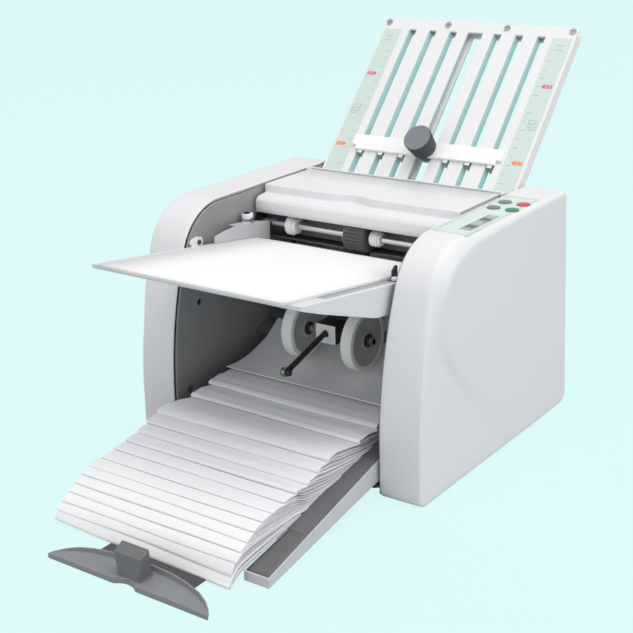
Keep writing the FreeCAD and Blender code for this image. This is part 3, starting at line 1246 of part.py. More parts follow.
def control_panel():
    """Thin label plate let into the right cover's top."""
    body = block(PANEL_X0, PANEL_X1, PANEL_Y0, PANEL_Y1, COVER_H - PANEL_T, COVER_H)
    cuts = [post(x, y, COVER_H - 5, COVER_H + 1, BUTTON_R + GAP) for x, y in button_places()]
    cuts.append(block(WINDOW_X0 - FIT, WINDOW_X1 + FIT, WINDOW_Y0 - FIT, WINDOW_Y1 + FIT,
                      COVER_H - 5, COVER_H + 1))
    return body.cut(cuts)


def button(x, y):
    """Round push button with a stem down to its switch."""
    top = COVER_H + BUTTON_RISE
    cap = post(x, y, COVER_H - COVER_WALL - 4, top, BUTTON_R)
    cap = rounded(cap, 1, lambda p: p.z > top - 0.01)
    return cap.fuse(post(x, y, BOARD_Z + SWITCH_CAP + STEM_PLAY, COVER_H - COVER_WALL, STEM_R))


def circuit_board():
    """Board under the cover's top with a switch under every button."""
    body = block(PANEL_X0 + 2, PANEL_X1 - 1, PANEL_Y0 + 4, PANEL_Y1 - 3, BOARD_Z - BOARD_T, BOARD_Z)
    return body.fuse([block(x - 3, x + 3, y - 3, y + 3, BOARD_Z - 0.5, BOARD_Z + SWITCH_CAP)
                      for x, y in button_places()])


add("control_panel", control_panel())
add("display_window", block(WINDOW_X0, WINDOW_X1, WINDOW_Y0, WINDOW_Y1, COVER_H - PANEL_T, COVER_H))
for label, place in zip(("grey_front", "green", "grey_rear", "red"), button_places()):
    add("button_" + label, button(*place))
add("circuit_board", circuit_board())


def power_inlet():
    """Appliance inlet: a flange outside, a body inside and three pins in its socket."""
    half_w, half_h = INLET_W / 2, INLET_H / 2
    body = block(-half_w, half_w, -INLET_D, 1, -half_h, half_h)
    flange = block(-half_w - 3, half_w + 3, FIT, 2.5, -half_h - 3, half_h + 3)
    socket = block(-half_w + 4, half_w - 4, -INLET_D + 5, 3, -half_h + 4, half_h - 4)
    pins = [block(x - 1, x + 1, -INLET_D + 4, -3, z - 2, z + 2) for x, z in ((-7, -2), (7, -2), (0, 2))]
    return on_rear_wall(body.fuse(flange).cut(socket).fuse(pins), COVER_MID, INLET_Z)


def power_switch():
    """Rocker, round across its pivot so that it can tip in its opening."""
    radius = SWITCH_W / 2 - GAP
    half_h = SWITCH_H / 2 - GAP
    drum = Part.makeCylinder(radius, 2 * half_h, V(0, -6, -half_h), Z_AXIS)
    return on_rear_wall(drum.cut(block(-20, 20, 2.2, 20, -20, 20)), COVER_MID, SWITCH_Z)


add("power_inlet", power_inlet())
add("power_switch", power_switch())


# ============================== hand over ======================================================
def joined(shapes):
    return shapes[0] if len(shapes) == 1 else Part.makeCompound(shapes)


WHOLE = {name: joined(shapes) for name, shapes in pieces.items()}
BOX = Part.makeCompound(list(WHOLE.values())).BoundBox
ORIGIN = V((BOX.XMin + BOX.XMax) / 2, (BOX.YMin + BOX.YMax) / 2, BOX.ZMin)

os.makedirs("parts", exist_ok=True)
for name, shape in WHOLE.items():
    shape.translate(ORIGIN * -1)
    shape.exportStep("parts/%s.step" % name)
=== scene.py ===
import json
import math

import bmesh
import bpy
import numpy as np
from mathutils import Matrix, Vector

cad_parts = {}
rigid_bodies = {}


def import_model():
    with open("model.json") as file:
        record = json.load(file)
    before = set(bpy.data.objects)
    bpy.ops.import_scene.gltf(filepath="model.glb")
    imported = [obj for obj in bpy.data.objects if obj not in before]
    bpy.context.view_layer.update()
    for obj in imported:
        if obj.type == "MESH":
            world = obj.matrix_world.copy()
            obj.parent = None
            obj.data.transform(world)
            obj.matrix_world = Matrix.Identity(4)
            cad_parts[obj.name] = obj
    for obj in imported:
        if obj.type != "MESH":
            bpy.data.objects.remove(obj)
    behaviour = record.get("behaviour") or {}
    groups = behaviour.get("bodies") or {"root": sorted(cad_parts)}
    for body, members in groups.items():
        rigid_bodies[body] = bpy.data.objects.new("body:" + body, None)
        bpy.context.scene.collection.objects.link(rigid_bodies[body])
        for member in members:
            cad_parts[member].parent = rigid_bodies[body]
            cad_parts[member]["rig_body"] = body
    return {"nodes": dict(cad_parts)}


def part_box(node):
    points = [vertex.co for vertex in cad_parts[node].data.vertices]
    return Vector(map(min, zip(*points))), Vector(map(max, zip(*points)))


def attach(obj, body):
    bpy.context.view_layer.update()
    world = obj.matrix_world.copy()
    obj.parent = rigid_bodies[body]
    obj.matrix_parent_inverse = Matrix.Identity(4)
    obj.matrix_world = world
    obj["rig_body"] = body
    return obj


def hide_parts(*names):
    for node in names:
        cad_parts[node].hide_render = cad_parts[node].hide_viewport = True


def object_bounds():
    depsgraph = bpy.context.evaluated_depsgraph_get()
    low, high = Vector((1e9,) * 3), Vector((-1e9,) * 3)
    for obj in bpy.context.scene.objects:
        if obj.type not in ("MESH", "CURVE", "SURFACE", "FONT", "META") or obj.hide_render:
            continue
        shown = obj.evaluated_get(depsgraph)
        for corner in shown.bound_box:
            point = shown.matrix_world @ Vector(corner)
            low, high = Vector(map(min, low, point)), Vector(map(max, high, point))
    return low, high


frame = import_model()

# Looks of a desktop paper folding machine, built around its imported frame.
# Shapes are given in millimetres from HOME, the lower front edge of the side covers, on the middle
# of the machine: X across it to the right, Y to the rear, Z up.

cad_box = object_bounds()
MM = 0.001
cover_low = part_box("right_side_cover")[0]
HOME = np.array([0.0, cover_low.y, cover_low.z])
UPRIGHT = (0, 0, 1)
MERGE = 1e-6                     # points nearer than this, in metres, are one
rng = np.random.default_rng(41)


def span(node):
    """Lowest and highest corner of a CAD node, in millimetres from HOME."""
    low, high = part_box(node)
    return (np.array(low) - HOME) / MM, (np.array(high) - HOME) / MM


def middle_of(node):
    """Middle of a CAD node's box, in millimetres from HOME."""
    low, high = span(node)
    return (low + high) / 2


def body_of(node):
    """The body that a CAD node rides on."""
    return frame["nodes"][node]["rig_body"]


def shown(name, data):
    """A new object in the scene."""
    made = bpy.data.objects.new(name, data)
    bpy.context.scene.collection.objects.link(made)
    return made


# ======== camera ========
CAMERA_AZIMUTH, CAMERA_ELEVATION, CAMERA_ROLL = 35.96, 19.48, -1.7      # degrees
CAMERA_PLACE = np.array((707.3, -894.6, 558.8))
CAMERA_LENS, SENSOR = 72.84, 36.0


def make_camera():
    """Camera looking back along (sin az cos el, -cos az cos el, sin el), rolled about its own axis."""
    azimuth, elevation, roll = map(math.radians, (CAMERA_AZIMUTH, CAMERA_ELEVATION, CAMERA_ROLL))
    back = Vector((math.sin(azimuth) * math.cos(elevation),
                   -math.cos(azimuth) * math.cos(elevation), math.sin(elevation)))
    level = (-back).cross(Vector(UPRIGHT)).normalized()
    above = level.cross(-back)
    turn = Matrix((math.cos(roll) * level + math.sin(roll) * above,
                   math.cos(roll) * above - math.sin(roll) * level, back)).transposed()
    data = bpy.data.cameras.new("camera")
    data.lens, data.sensor_width = CAMERA_LENS, SENSOR
    camera = shown("camera", data)
    camera.matrix_world = Matrix.Translation(Vector(CAMERA_PLACE * MM + HOME)) @ turn.to_4x4()
    bpy.context.scene.camera = camera


make_camera()


# ======== finishes ========
BUMP_STRENGTH = 0.6


def srgb(red, green, blue):
    """A display colour of 0 to 255 as linear light."""
    parts = np.array((red, green, blue)) / 255
    linear = np.where(parts <= 0.04045, parts / 12.92, ((parts + 0.055) / 1.055) ** 2.4)
    return (*linear, 1.0)


def fed(tree, node, inputs):
    """A shader node whose inputs, by name or number, are fed by a socket or set to a value."""
    for name, value in inputs.items():
        if isinstance(value, bpy.types.NodeSocket):
            tree.links.new(value, node.inputs[name])
        else:
            node.inputs[name].default_value = value
    return node


def added(tree, kind, inputs=None, **settings):
    """A new shader node of a kind, with its settings and inputs."""
    node = tree.nodes.new("ShaderNode" + kind)
    for name, value in settings.items():
        setattr(node, name, value)
    return fed(tree, node, inputs or {})


def noise(tree, place, size, detail):
    """Noise whose blotches are about as many millimetres wide as size says."""
    return added(tree, "TexNoise", {"Scale": 1 / (size * MM), "Detail": detail,
                                    "Vector": place.outputs["Vector"]}).outputs["Fac"]


def finish(name, colour, roughness, mottle, mottle_size, grain, grain_size=0.5, uneven=0.06,
           metallic=0.0, stretch=(1, 1, 1), coat=0.0, specular=0.5):
    """A finish on Object coordinates: colour times a soft mottle of 1 - mottle to 1 + mottle,
    roughness spread by the same noise, and a bump of grain millimetres from a finer noise."""
    material = bpy.data.materials.new(name)
    material.use_nodes = True
    tree = material.node_tree
    where = added(tree, "TexCoord")
    place = added(tree, "Mapping", {"Vector": where.outputs["Object"], "Scale": stretch})
    fine = noise(tree, place, grain_size, 2)
    dark, light = (tuple(min(part * (1 + change), 1) for part in srgb(*colour)[:3]) + (1,)
                   for change in (-mottle, mottle))
    shade = added(tree, "Mix", {"A": dark, "B": light, "Factor": noise(tree, place, mottle_size, 3)},
                  data_type="RGBA")
    rough = added(tree, "MapRange", {"To Min": max(roughness - uneven, 0.02),
                                     "To Max": min(roughness + uneven, 1), "Value": fine})
    bump = added(tree, "Bump", {"Distance": grain * MM, "Strength": BUMP_STRENGTH, "Height": fine})
    fed(tree, tree.nodes["Principled BSDF"], {
        "Metallic": metallic, "Coat Weight": coat, "Specular IOR Level": specular,
        "Base Color": shade.outputs["Result"], "Roughness": rough.outputs["Result"],
        "Normal": bump.outputs["Normal"]})
    return material


def shade_below(material, level, share, blend):
    """A finish darkened to a share of its colour below a height, in metres over HOME."""
    tree = material.node_tree
    base = tree.nodes["Principled BSDF"].inputs["Base Color"]
    parts = added(tree, "SeparateXYZ", {"Vector": added(tree, "TexCoord").outputs["Object"]})
    height = added(tree, "MapRange", {
        "From Min": level - blend + HOME[2], "From Max": level + blend + HOME[2], "To Min": share,
        "Value": parts.outputs["Z"]})
    darker = added(tree, "Mix", {"A": base.links[0].from_socket, "B": height.outputs["Result"],
                                 "Factor": 1}, data_type="RGBA", blend_type="MULTIPLY")
    tree.links.new(darker.outputs["Result"], base)


# What some finishes have besides the numbers in FINISH.
SPECIAL = {
    "zinc_steel": {"metallic": 1.0, "stretch": (1, 6, 1)},
    "pale_steel": {"metallic": 0.25},
    "chrome": {"metallic": 1.0, "uneven": 0.03, "stretch": (0.15, 1, 1)},
    "ground_steel": {"metallic": 1.0, "stretch": (0.1, 1, 1)},
    "display_window": {"coat": 0.6},
    "sheet_paper": {"specular": 0.2},
    "folded_paper": {"specular": 0.2},
    "sintered_bronze": {"metallic": 1.0},
    "cap_metal": {"metallic": 1.0}}
# Name, colour of 0 to 255, roughness, mottle, and in millimetres its size, the grain and its size.
FINISH = {name: finish(name, *look, **SPECIAL.get(name, {})) for name, *look in [
    ("cover_plastic", (233, 234, 236), 0.42, 0.012, 90, 0.02, 0.7),
    ("white_plastic", (238, 240, 242), 0.36, 0.012, 40, 0.012, 0.9),
    ("white_nylon", (238, 239, 238), 0.45, 0.03, 9, 0.04),
    ("frame_paint", (152, 153, 155), 0.45, 0.02, 60, 0.03, 0.8),
    ("grille_paint", (238, 238, 239), 0.34, 0.012, 50, 0.02, 0.6),
    ("zinc_steel", (196, 198, 200), 0.34, 0.05, 8, 0.01),
    ("pale_steel", (212, 214, 216), 0.38, 0.03, 14, 0.015),
    ("chrome", (212, 212, 215), 0.16, 0.02, 35, 0.003),
    ("ground_steel", (186, 187, 190), 0.3, 0.05, 35, 0.01),
    ("black_rubber", (52, 52, 54), 0.62, 0.08, 6, 0.05),
    ("dark_plastic", (74, 74, 76), 0.5, 0.03, 25, 0.04, 0.6),
    ("black_plastic", (46, 42, 40), 0.4, 0.05, 10, 0.02),
    ("tray_mat", (108, 108, 111), 0.68, 0.03, 30, 0.09),
    ("grey_plastic", (141, 143, 146), 0.4, 0.03, 30, 0.04, 0.7),
    ("table_grey", (168, 172, 176), 0.4, 0.02, 30, 0.02),
    ("mint_film", (214, 232, 223), 0.4, 0.012, 20, 0.006),
    ("display_window", (150, 158, 156), 0.12, 0.06, 9, 0.0),
    ("button_grey", (128, 133, 131), 0.32, 0.02, 35, 0.01),
    ("button_green", (66, 142, 104), 0.32, 0.02, 35, 0.01),
    ("button_red", (214, 82, 98), 0.32, 0.02, 35, 0.01),
    ("circuit_board", (48, 104, 66), 0.4, 0.1, 5, 0.04),
    ("sheet_paper", (246, 246, 247), 0.9, 0.006, 25, 0.02, 0.35),
    ("folded_paper", (248, 248, 250), 0.88, 0.01, 30, 0.03, 0.35),
    ("motor_paint", (60, 61, 64), 0.35, 0.05, 20, 0.04),
    ("sintered_bronze", (92, 72, 50), 0.5, 0.1, 3, 0.04),
    ("wheel_tread", (252, 254, 252), 0.6, 0.03, 12, 0.03),
    ("wheel_disc", (196, 195, 192), 0.42, 0.03, 12, 0.02),
    ("knob_face", (128, 132, 138), 0.42, 0.03, 10, 0.02),
    ("feed_rubber", (84, 84, 86), 0.55, 0.06, 6, 0.04),
    ("grip_plastic", (112, 114, 116), 0.34, 0.04, 12, 0.03),
    ("cap_metal", (150, 154, 146), 0.22, 0.06, 4, 0.004),
    ("guide_steel", (70, 71, 72), 0.42, 0.04, 12, 0.02),
    ("knob_side", (56, 57, 59), 0.45, 0.04, 8, 0.03),
    # painted shade for the grille slots' white walls, tinted like the backdrop
    ("slot_edge", (206, 236, 234), 0.5, 0.02, 20, 0.01),
    ("thin_print", (150, 166, 162), 0.5, 0.02, 6, 0.0),
    # painted shade on the stop bar's white fingers, where they go into the slots
    ("bar_fingers", (150, 166, 162), 0.5, 0.02, 6, 0.01),
    # the tray's white plastic, darkened as painted shade because its sides get little light
    ("tray_plastic", (208, 210, 214), 0.42, 0.012, 60, 0.012),
    ("table_plastic", (224, 227, 230), 0.38, 0.012, 60, 0.012),
    ("scale_film", (210, 226, 219), 0.4, 0.012, 20, 0.006),
    ("bar_plastic", (252, 252, 252), 0.36, 0.006, 40, 0.006),
    ("guard_steel", (124, 124, 125), 0.5, 0.03, 20, 0.02),
    ("display_ink", (52, 60, 58), 0.4, 0.03, 4, 0.0),
    ("blue_print", (150, 175, 205), 0.5, 0.02, 6, 0.0),
    ("pink_print", (226, 92, 168), 0.5, 0.02, 6, 0.0),
    ("orange_print", (247, 128, 72), 0.5, 0.02, 6, 0.0),
    ("gear_nylon", (226, 224, 214), 0.48, 0.03, 8, 0.04)]}
shade_below(FINISH["frame_paint"], 0.205, 0.9, 0.004)

# Finishes of the nodes that keep the shape of their solid.
NODE_FINISH = {node: name for name, nodes in {
    "frame_paint": "left_side_frame right_side_frame base_plate",
    "black_rubber": "rubber_feet separator_pad drive_belt",
    "zinc_steel": "tie_rods assembly_screws hood_hinge_pins motor_pulley exit_chute",
    "grille_paint": "rear_bridge upper_plate_front upper_plate_back lower_plate_front lower_plate_back",
    "black_plastic": "power_inlet power_switch drive_pulley",
    "white_plastic": "lower_stop_bar skew_lever press_yoke",
    "dark_plastic": "lower_stop_knob extension_plate",
    "ground_steel": "fold_roller_1 fold_roller_2 fold_roller_3 fold_roller_4",
    "scale_film": "upper_scale_strips", "bar_plastic": "upper_stop_bar",
    "table_plastic": "feed_table", "table_grey": "feed_table_plate", "pale_steel": "left_paper_guide",
    "chrome": "feed_shaft", "guard_steel": "guard_plate", "gear_nylon": "idler_gear",
    # the delivery tray's finish is white plastic darkened as painted shade
    "sintered_bronze": "bearing_bushes", "motor_paint": "drive_motor", "tray_plastic": "delivery_tray",
    "mint_film": "control_panel", "display_window": "display_window", "circuit_board": "circuit_board",
}.items() for node in nodes.split()}
BEVEL = {"feed_table": 0.9, "delivery_tray": 0.8, "upper_plate_front": 0.4, "upper_plate_back": 0.4,
         "press_yoke": 0.5}
PLAIN_BEVEL = 0.25
# Parts of a node in another finish, those of the slot walls and of the stop bar's fingers being painted
# shade: lowest and
# # highest corner in millimetres from HOME, the finish, and whether only faces that look along X are meant.
FAR = 1000
LOWEST, HIGHEST = (-FAR, -FAR, -FAR), (FAR, FAR, FAR)
GEAR_SIDE = (LOWEST, (-125.5, FAR, FAR), "gear_nylon", False)
# The grille slots' walls get painted shade, tinted like the backdrop, in place of their white paint.
SLOT_PAINTED_SHADE = ((-98, -FAR, -FAR), (98, FAR, FAR), "slot_edge", True)
DETAILS = {
    # the white stop bar's fingers below it are coloured grey-green as painted shade
    "upper_stop_bar": [(LOWEST, (FAR, FAR, 252.8), "bar_fingers", False)],
    "press_yoke": [((11.5, -FAR, -FAR), (12.5, FAR, FAR), "black_plastic", True),
                   ((-12.5, -FAR, -FAR), (-11.5, FAR, FAR), "black_plastic", True),
                   ((-11.9, 96.0, 90.0), (11.9, FAR, FAR), "black_plastic", False)],
    "feed_shaft": [(LOWEST, (-124.9, FAR, FAR), "gear_nylon", False)],
    "fold_roller_1": [GEAR_SIDE], "fold_roller_2": [GEAR_SIDE], "fold_roller_3": [GEAR_SIDE],
    "fold_roller_4": [GEAR_SIDE], "upper_plate_front": [SLOT_PAINTED_SHADE], "upper_plate_back": [SLOT_PAINTED_SHADE],
    "skew_lever": [((-119.25, -FAR, -FAR), HIGHEST, "dark_plastic", False)],
}


# ======== meshes from CAD nodes ========
def smooth(mesh, sharp_degrees):
    """Smooth shading with an edge kept sharp where its faces meet at more than an angle."""
    mesh.polygons.foreach_set("use_smooth", np.ones(len(mesh.polygons), bool))
    mesh.set_sharp_from_angle(angle=math.radians(sharp_degrees))


def edge_round(made, width, segments=2, angle=30):
    """Bevel modifier of some millimetres on every edge sharper than an angle."""
    bevel = made.modifiers.new("edges", "BEVEL")
    bevel.width = width * MM
    bevel.segments = segments
    bevel.limit_method = "ANGLE"
    bevel.angle_limit = math.radians(angle)
    bevel.harden_normals = True


def cleaned(mesh, flat_degrees=None):
    """The mesh with doubles merged, and its triangles joined where they are flat within an angle or,
    without one, its faces turned outwards."""
    work = bmesh.new()
    work.from_mesh(mesh)
    bmesh.ops.remove_doubles(work, verts=work.verts, dist=MERGE)
    if flat_degrees:
        bmesh.ops.dissolve_limit(work, angle_limit=math.radians(flat_degrees), verts=work.verts,
                                 edges=work.edges)
    else:
        bmesh.ops.recalc_face_normals(work, faces=work.faces)
    work.to_mesh(mesh)
    work.free()
    return mesh


def dressed(node, width):
    """A CAD node's own shape, its triangles joined into faces and its edges softly rounded."""
    mesh = cleaned(frame["nodes"][node].data.copy(), 1.0)
    smooth(mesh, 30)
    made = shown(node + "_dressed", mesh)
    mesh.materials.clear()
    mesh.materials.append(FINISH[NODE_FINISH[node]])
    for detail in DETAILS.get(node, ()):
        recolour(made, *detail)
    edge_round(made, width)
    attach(made, body_of(node))
    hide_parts(node)


# ======== surfaces ========
def skin(points, along=False, around=False, caps=False):
    """A grid of points and its faces; along joins the last row to the first, around the last
    column to the first, and caps closes the first and the last row by one face each."""
    rows, across = points.shape[:2]
    number = np.arange(rows * across).reshape(rows, across)
    above = np.roll(number, -1, axis=0)
    faces = np.stack([number, np.roll(number, -1, axis=1), np.roll(above, -1, axis=1), above], axis=2)
    faces = faces[:None if along else -1, :None if around else -1].reshape(-1, 4).tolist()
    if caps:
        faces += [number[0, ::-1].tolist(), number[-1].tolist()]
    return points.reshape(-1, 3), faces


def together(forms):
    """Several forms as one, each one's faces counted on from the points before it."""
    starts = np.cumsum([0] + [len(points) for points, faces in forms[:-1]])
    faces = [[int(i + start) for i in face] for start, (_, own) in zip(starts, forms) for face in own]
    return np.concatenate([points for points, _ in forms]), faces


def grid(x, y, z):
    """Points whose coordinates are three arrays that spread over each other."""
    return np.stack(np.broadcast_arrays(x, y, z), axis=-1).astype(float)


def piece(name, form, material, body, stands_for=None, sharp=35):
    """A form in millimetres from HOME as an object that rides on a body and may stand for a node."""
    points, faces = form
    mesh = bpy.data.meshes.new(name)
    mesh.from_pydata((points * MM + HOME).tolist(), [], faces)
    smooth(cleaned(mesh), sharp)
    mesh.materials.append(FINISH[material])
    made = shown(name, mesh)
    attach(made, body)
    if stands_for:
        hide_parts(stands_for)
    return made


def wall(made, thickness, offset=-1.0):
    """Solidify modifier: a wall of some millimetres, inwards at -1 and on both sides at 0."""
    solid = made.modifiers.new("wall", "SOLIDIFY")
    solid.thickness = thickness * MM
    solid.offset = offset
    solid.use_even_offset = True


def baked(made):
    """The object with its modifiers worked into its mesh."""
    mesh = bpy.data.meshes.new_from_object(made.evaluated_get(bpy.context.evaluated_depsgraph_get()))
    made.modifiers.clear()
    made.data = mesh
    return made


def recolour(made, low, high, material, sideways):
    """Another finish on the faces whose middle lies between two corners, in millimetres; sideways
    takes only those that look along X."""
    mesh = made.data
    count = len(mesh.polygons)
    middles, normals, slots = np.empty(count * 3), np.empty(count * 3), np.empty(count, dtype=np.int32)
    mesh.polygons.foreach_get("center", middles)
    mesh.polygons.foreach_get("normal", normals)
    mesh.polygons.foreach_get("material_index", slots)
    middles = (middles.reshape(-1, 3) - HOME) / MM
    inside = np.all((middles > low) & (middles < high), axis=1)
    if sideways:
        inside &= np.abs(normals.reshape(-1, 3)[:, 0]) > 0.9
    mesh.materials.append(FINISH[material])
    slots[inside] = len(mesh.materials) - 1
    mesh.polygons.foreach_set("material_index", slots)


def rise(share):
    """Smooth step: 3 s squared - 2 s cubed for a share s kept between 0 and 1."""
    share = np.clip(share, 0, 1)
    return share * share * (3 - 2 * share)


def arc(centre, radius, start, end, steps):
    """Points (a, b) on a circle, from one angle to another, in degrees from the first axis."""
    angle = np.radians(np.linspace(start, end, steps))
    return np.stack([centre[0] + radius * np.cos(angle), centre[1] + radius * np.sin(angle)], axis=1)


def softened(corners, cut, steps=5):
    """A line of corners, each but the ends replaced by a parabola that starts and ends a cut away:
    (1 - t) squared A + 2 t (1 - t) B + t squared C."""
    corners = np.asarray(corners, float)
    share = np.linspace(0, 1, steps)[:, None]
    line = [corners[:1]]
    for before, here, after in zip(corners, corners[1:], corners[2:]):
        back, on = before - here, after - here
        first = here + back * min(cut / np.linalg.norm(back), 0.45)
        last = here + on * min(cut / np.linalg.norm(on), 0.45)
        line.append((1 - share) ** 2 * first + 2 * share * (1 - share) * here + share ** 2 * last)
    line.append(corners[-1:])
    return np.concatenate(line)


def lathe(profile, origin, axis=(1, 0, 0), segments=48):
    """A profile of (along the axis, radius) turned about an axis through a point:
    origin + along * axis + radius * (cos a * side + sin a * other)."""
    axis = np.asarray(axis, float) / np.linalg.norm(axis)
    side = np.cross(axis, (0, 0, 1.0) if abs(axis[2]) < 0.9 else (0, 1.0, 0))
    side /= np.linalg.norm(side)
    angle = np.linspace(0, 2 * math.pi, segments, endpoint=False)[:, None]
    ring = np.cos(angle) * side + np.sin(angle) * np.cross(axis, side)
    profile = np.asarray(profile, float)[..., None]
    return skin(np.asarray(origin, float) + profile[:, :1] * axis + profile[:, 1:] * ring, around=True)


def extruded(outline, low, high):
    """A closed outline of (y, z) carried along X from low to high, with both ends closed."""
    y, z = np.asarray(outline, float).T
    return skin(grid(np.array([[low], [high]]), y, z), around=True, caps=True)


def block_between(low, high):
    """Closed form with flat sides between two corners."""
    (x0, y0, z0), (x1, y1, z1) = low, high
    return extruded([(y0, z0), (y1, z0), (y1, z1), (y0, z1)], x0, x1)


# ======== side covers ========
COVER_IN = span("right_side_cover")[0][0]
COVER_OUT, REAR_FOOT_Y, COVER_H = span("right_side_cover")[1]
COVER_WALL = 3.0
LEAN_R, LEAN_DEG, CROWN_R = 425.0, 21.1, 62.5
TOE_R, HEEL_R, REAR_TOP_R = 9.0, 12.0, 8.0
REAR_LEAN = 15.0
TURN_WORTH = 14.0                        # a radian of turn is worth this much length to the rings
FACE_MIDDLE = np.array((150.0, 110.0))   # (y, z) at which the outer face's rings close
# Rounding of the outer edge at places (y, z) along the outline, from the toe over the top, on the
# right and on the left cover.
EDGE_ROUNDS = [((0, 20), 4.5, 5), ((7, 120), 5.5, 7), ((16, 160), 9, 4.5), ((33, 207), 15, 3.2),
               ((62, 233), 16, 3.2), ((100, 238), 9.5, 4), ((140, 238), 8.5, 5), ((223, 238), 5.2, 5),
               ((275, 238), 4.5, 4.5), ((290, 200), 5, 5), ((300, 30), 5.5, 5.5), ((200, 0), 4, 5),
               ((60, 0), 4, 5)]
BUTTONS = ("button_grey_front", "button_green", "button_grey_rear", "button_red")
OPENING_PLAY = 0.4                       # the openings are this much wider all round
# Line (y, z) in front of and below which the outer face is drawn in, its depth and the width of
# the step, both given at shares of the line's length.
RELIEF_LINE = [(139, 230), (100, 229), (64, 221), (46, 208), (40, 190), (39, 170), (40, 155), (51, 132),
               (81, 101), (125, 69), (170, 45), (230, 25)]
RELIEF_DEPTH = [(0.0, 0.0), (0.12, 1.4), (0.27, 3.2), (0.48, 3.6), (0.68, 2.2), (0.85, 0.8), (1.0, 0.0)]
RELIEF_WIDTH = [(0.0, 7.0), (0.3, 8.0), (0.5, 12.0), (0.75, 30.0), (1.0, 42.0)]


def on_line(line, measure, at):
    """Points of a line of corners at some values of a measure that is given at its corners."""
    return np.stack([np.interp(at, measure, part) for part in line.T], axis=1)


def cover_outline(count):
    """Closed side outline of a cover, evenly spaced by length plus turn, from the toe's lower end:
    toe, leaning front, crown, flat top, leaning rear wall, heel."""
    lean = math.radians(LEAN_DEG)
    spread = LEAN_R - CROWN_R
    tilt = math.degrees(math.atan2(REAR_LEAN, COVER_H))
    line = np.concatenate([
        arc((TOE_R, TOE_R), TOE_R, 270, 180, 16),
        arc((LEAN_R, COVER_H - CROWN_R - spread * math.sin(lean)), LEAN_R, 180, 180 - LEAN_DEG, 60),
        arc((LEAN_R - spread * math.cos(lean), COVER_H - CROWN_R), CROWN_R, 180 - LEAN_DEG, 90, 60),
        arc((REAR_FOOT_Y - REAR_LEAN - REAR_TOP_R * 0.97, COVER_H - REAR_TOP_R), REAR_TOP_R, 90, tilt, 16),
        arc((REAR_FOOT_Y - HEEL_R * 1.04, HEEL_R), HEEL_R, tilt, -90, 20)])
    closed = np.concatenate([line, line[:1]])
    step = np.diff(closed, axis=0).T
    way = np.unwrap(np.arctan2(step[1], step[0]))
    turn = np.abs(np.diff(way, append=way[0] - 2 * math.pi))
    measure = np.concatenate([[0], np.cumsum(np.hypot(*step) + TURN_WORTH * turn)])
    return on_line(closed, measure, np.linspace(0, measure[-1], count, endpoint=False))


def inward(outline):
    """Unit normals of a closed outline, towards its inside."""
    along = np.roll(outline, -1, axis=0) - np.roll(outline, 1, axis=0)
    normal = np.stack([along[:, 1], -along[:, 0]], axis=1)
    normal /= np.linalg.norm(normal, axis=1, keepdims=True)
    return normal * np.sign(np.sum(normal * (FACE_MIDDLE - outline), axis=1, keepdims=True))


def edge_radius(outline, side):
    """The outer edge's rounding along the outline, between the stations of EDGE_ROUNDS."""
    length = np.cumsum(np.linalg.norm(outline - np.roll(outline, 1, axis=0), axis=1))
    places = np.array([station[0] for station in EDGE_ROUNDS], float)
    nearest = np.argmin(np.linalg.norm(outline[None] - places[:, None], axis=2), axis=1)
    order = np.argsort(length[nearest])
    radii = np.array([station[side] for station in EDGE_ROUNDS], float)[order]
    return np.interp(length, length[nearest][order], radii, period=length[-1])


def relief(y, z):
    """How far the outer face is drawn in: depth * smooth step of (distance in front of the line
    / width), with the depth and the width of the line's nearest point."""
    corners = np.array(RELIEF_LINE, float)
    length = np.concatenate([[0], np.cumsum(np.linalg.norm(np.diff(corners, axis=0), axis=1))])
    share = np.linspace(0, 1, 160)
    line = on_line(corners, length, share * length[-1])
    kernel = np.ones(13) / 13
    line[6:-6] = np.stack([np.convolve(part, kernel, "valid") for part in line.T], axis=1)
    way = np.stack([y.ravel(), z.ravel()], axis=1)[:, None] - line
    near = np.argmin(np.linalg.norm(way, axis=2), axis=1)
    way = way[np.arange(len(near)), near]
    along = np.gradient(line, axis=0)[near]
    ahead = np.where(along[:, 0] * way[:, 1] < along[:, 1] * way[:, 0], np.linalg.norm(way, axis=1), 0)
    depth = np.interp(share[near], *zip(*RELIEF_DEPTH))
    width = np.interp(share[near], *zip(*RELIEF_WIDTH))
    return (depth * rise(ahead / width)).reshape(y.shape)


def cover_surface(side):
    """Outer surface of a cover, 1 right or 2 left, as rings round its outline: rim, band, quarter
    round by the edge's radius, and an outer face that closes on its middle, x = COVER_OUT -
    relief(y, z)."""
    outline = cover_outline(232)
    radius = edge_radius(outline, side)[None, :, None]
    rim = np.array([(0.0, 0.8), (0.25, 0.25), (0.8, 0.0)])[..., None]
    rim_end = COVER_IN + rim[-1, 0, 0]
    band = np.linspace(0.12, 1, 4)[:, None, None]
    turn = np.radians(np.linspace(11, 90, 8))[:, None, None]
    share = (np.linspace(0, 1, 47)[1:] ** 0.9)[:, None, None]

    rounded = outline + radius * (1 - np.cos(turn)) * inward(outline)
    y, z = np.concatenate([
        outline + rim[:, 1:] * inward(outline), np.broadcast_to(outline, (len(band),) + outline.shape),
        rounded, rounded[-1] + (FACE_MIDDLE - rounded[-1]) * share]).transpose(2, 0, 1)
    rows = [COVER_IN + rim[:, :1], rim_end + band * (COVER_OUT - radius - rim_end),
            COVER_OUT - radius + radius * np.sin(turn), np.full(share.shape, COVER_OUT)]
    x = np.concatenate([np.broadcast_to(row[..., 0], (len(row), len(outline))) for row in rows])
    drawn_in = np.concatenate([np.zeros(len(rim) + len(band)), np.sin(turn).ravel(), np.ones(len(share))])
    return grid(x - drawn_in[:, None] * np.minimum(relief(y, z), 0.5 * radius[..., 0]), y, z)


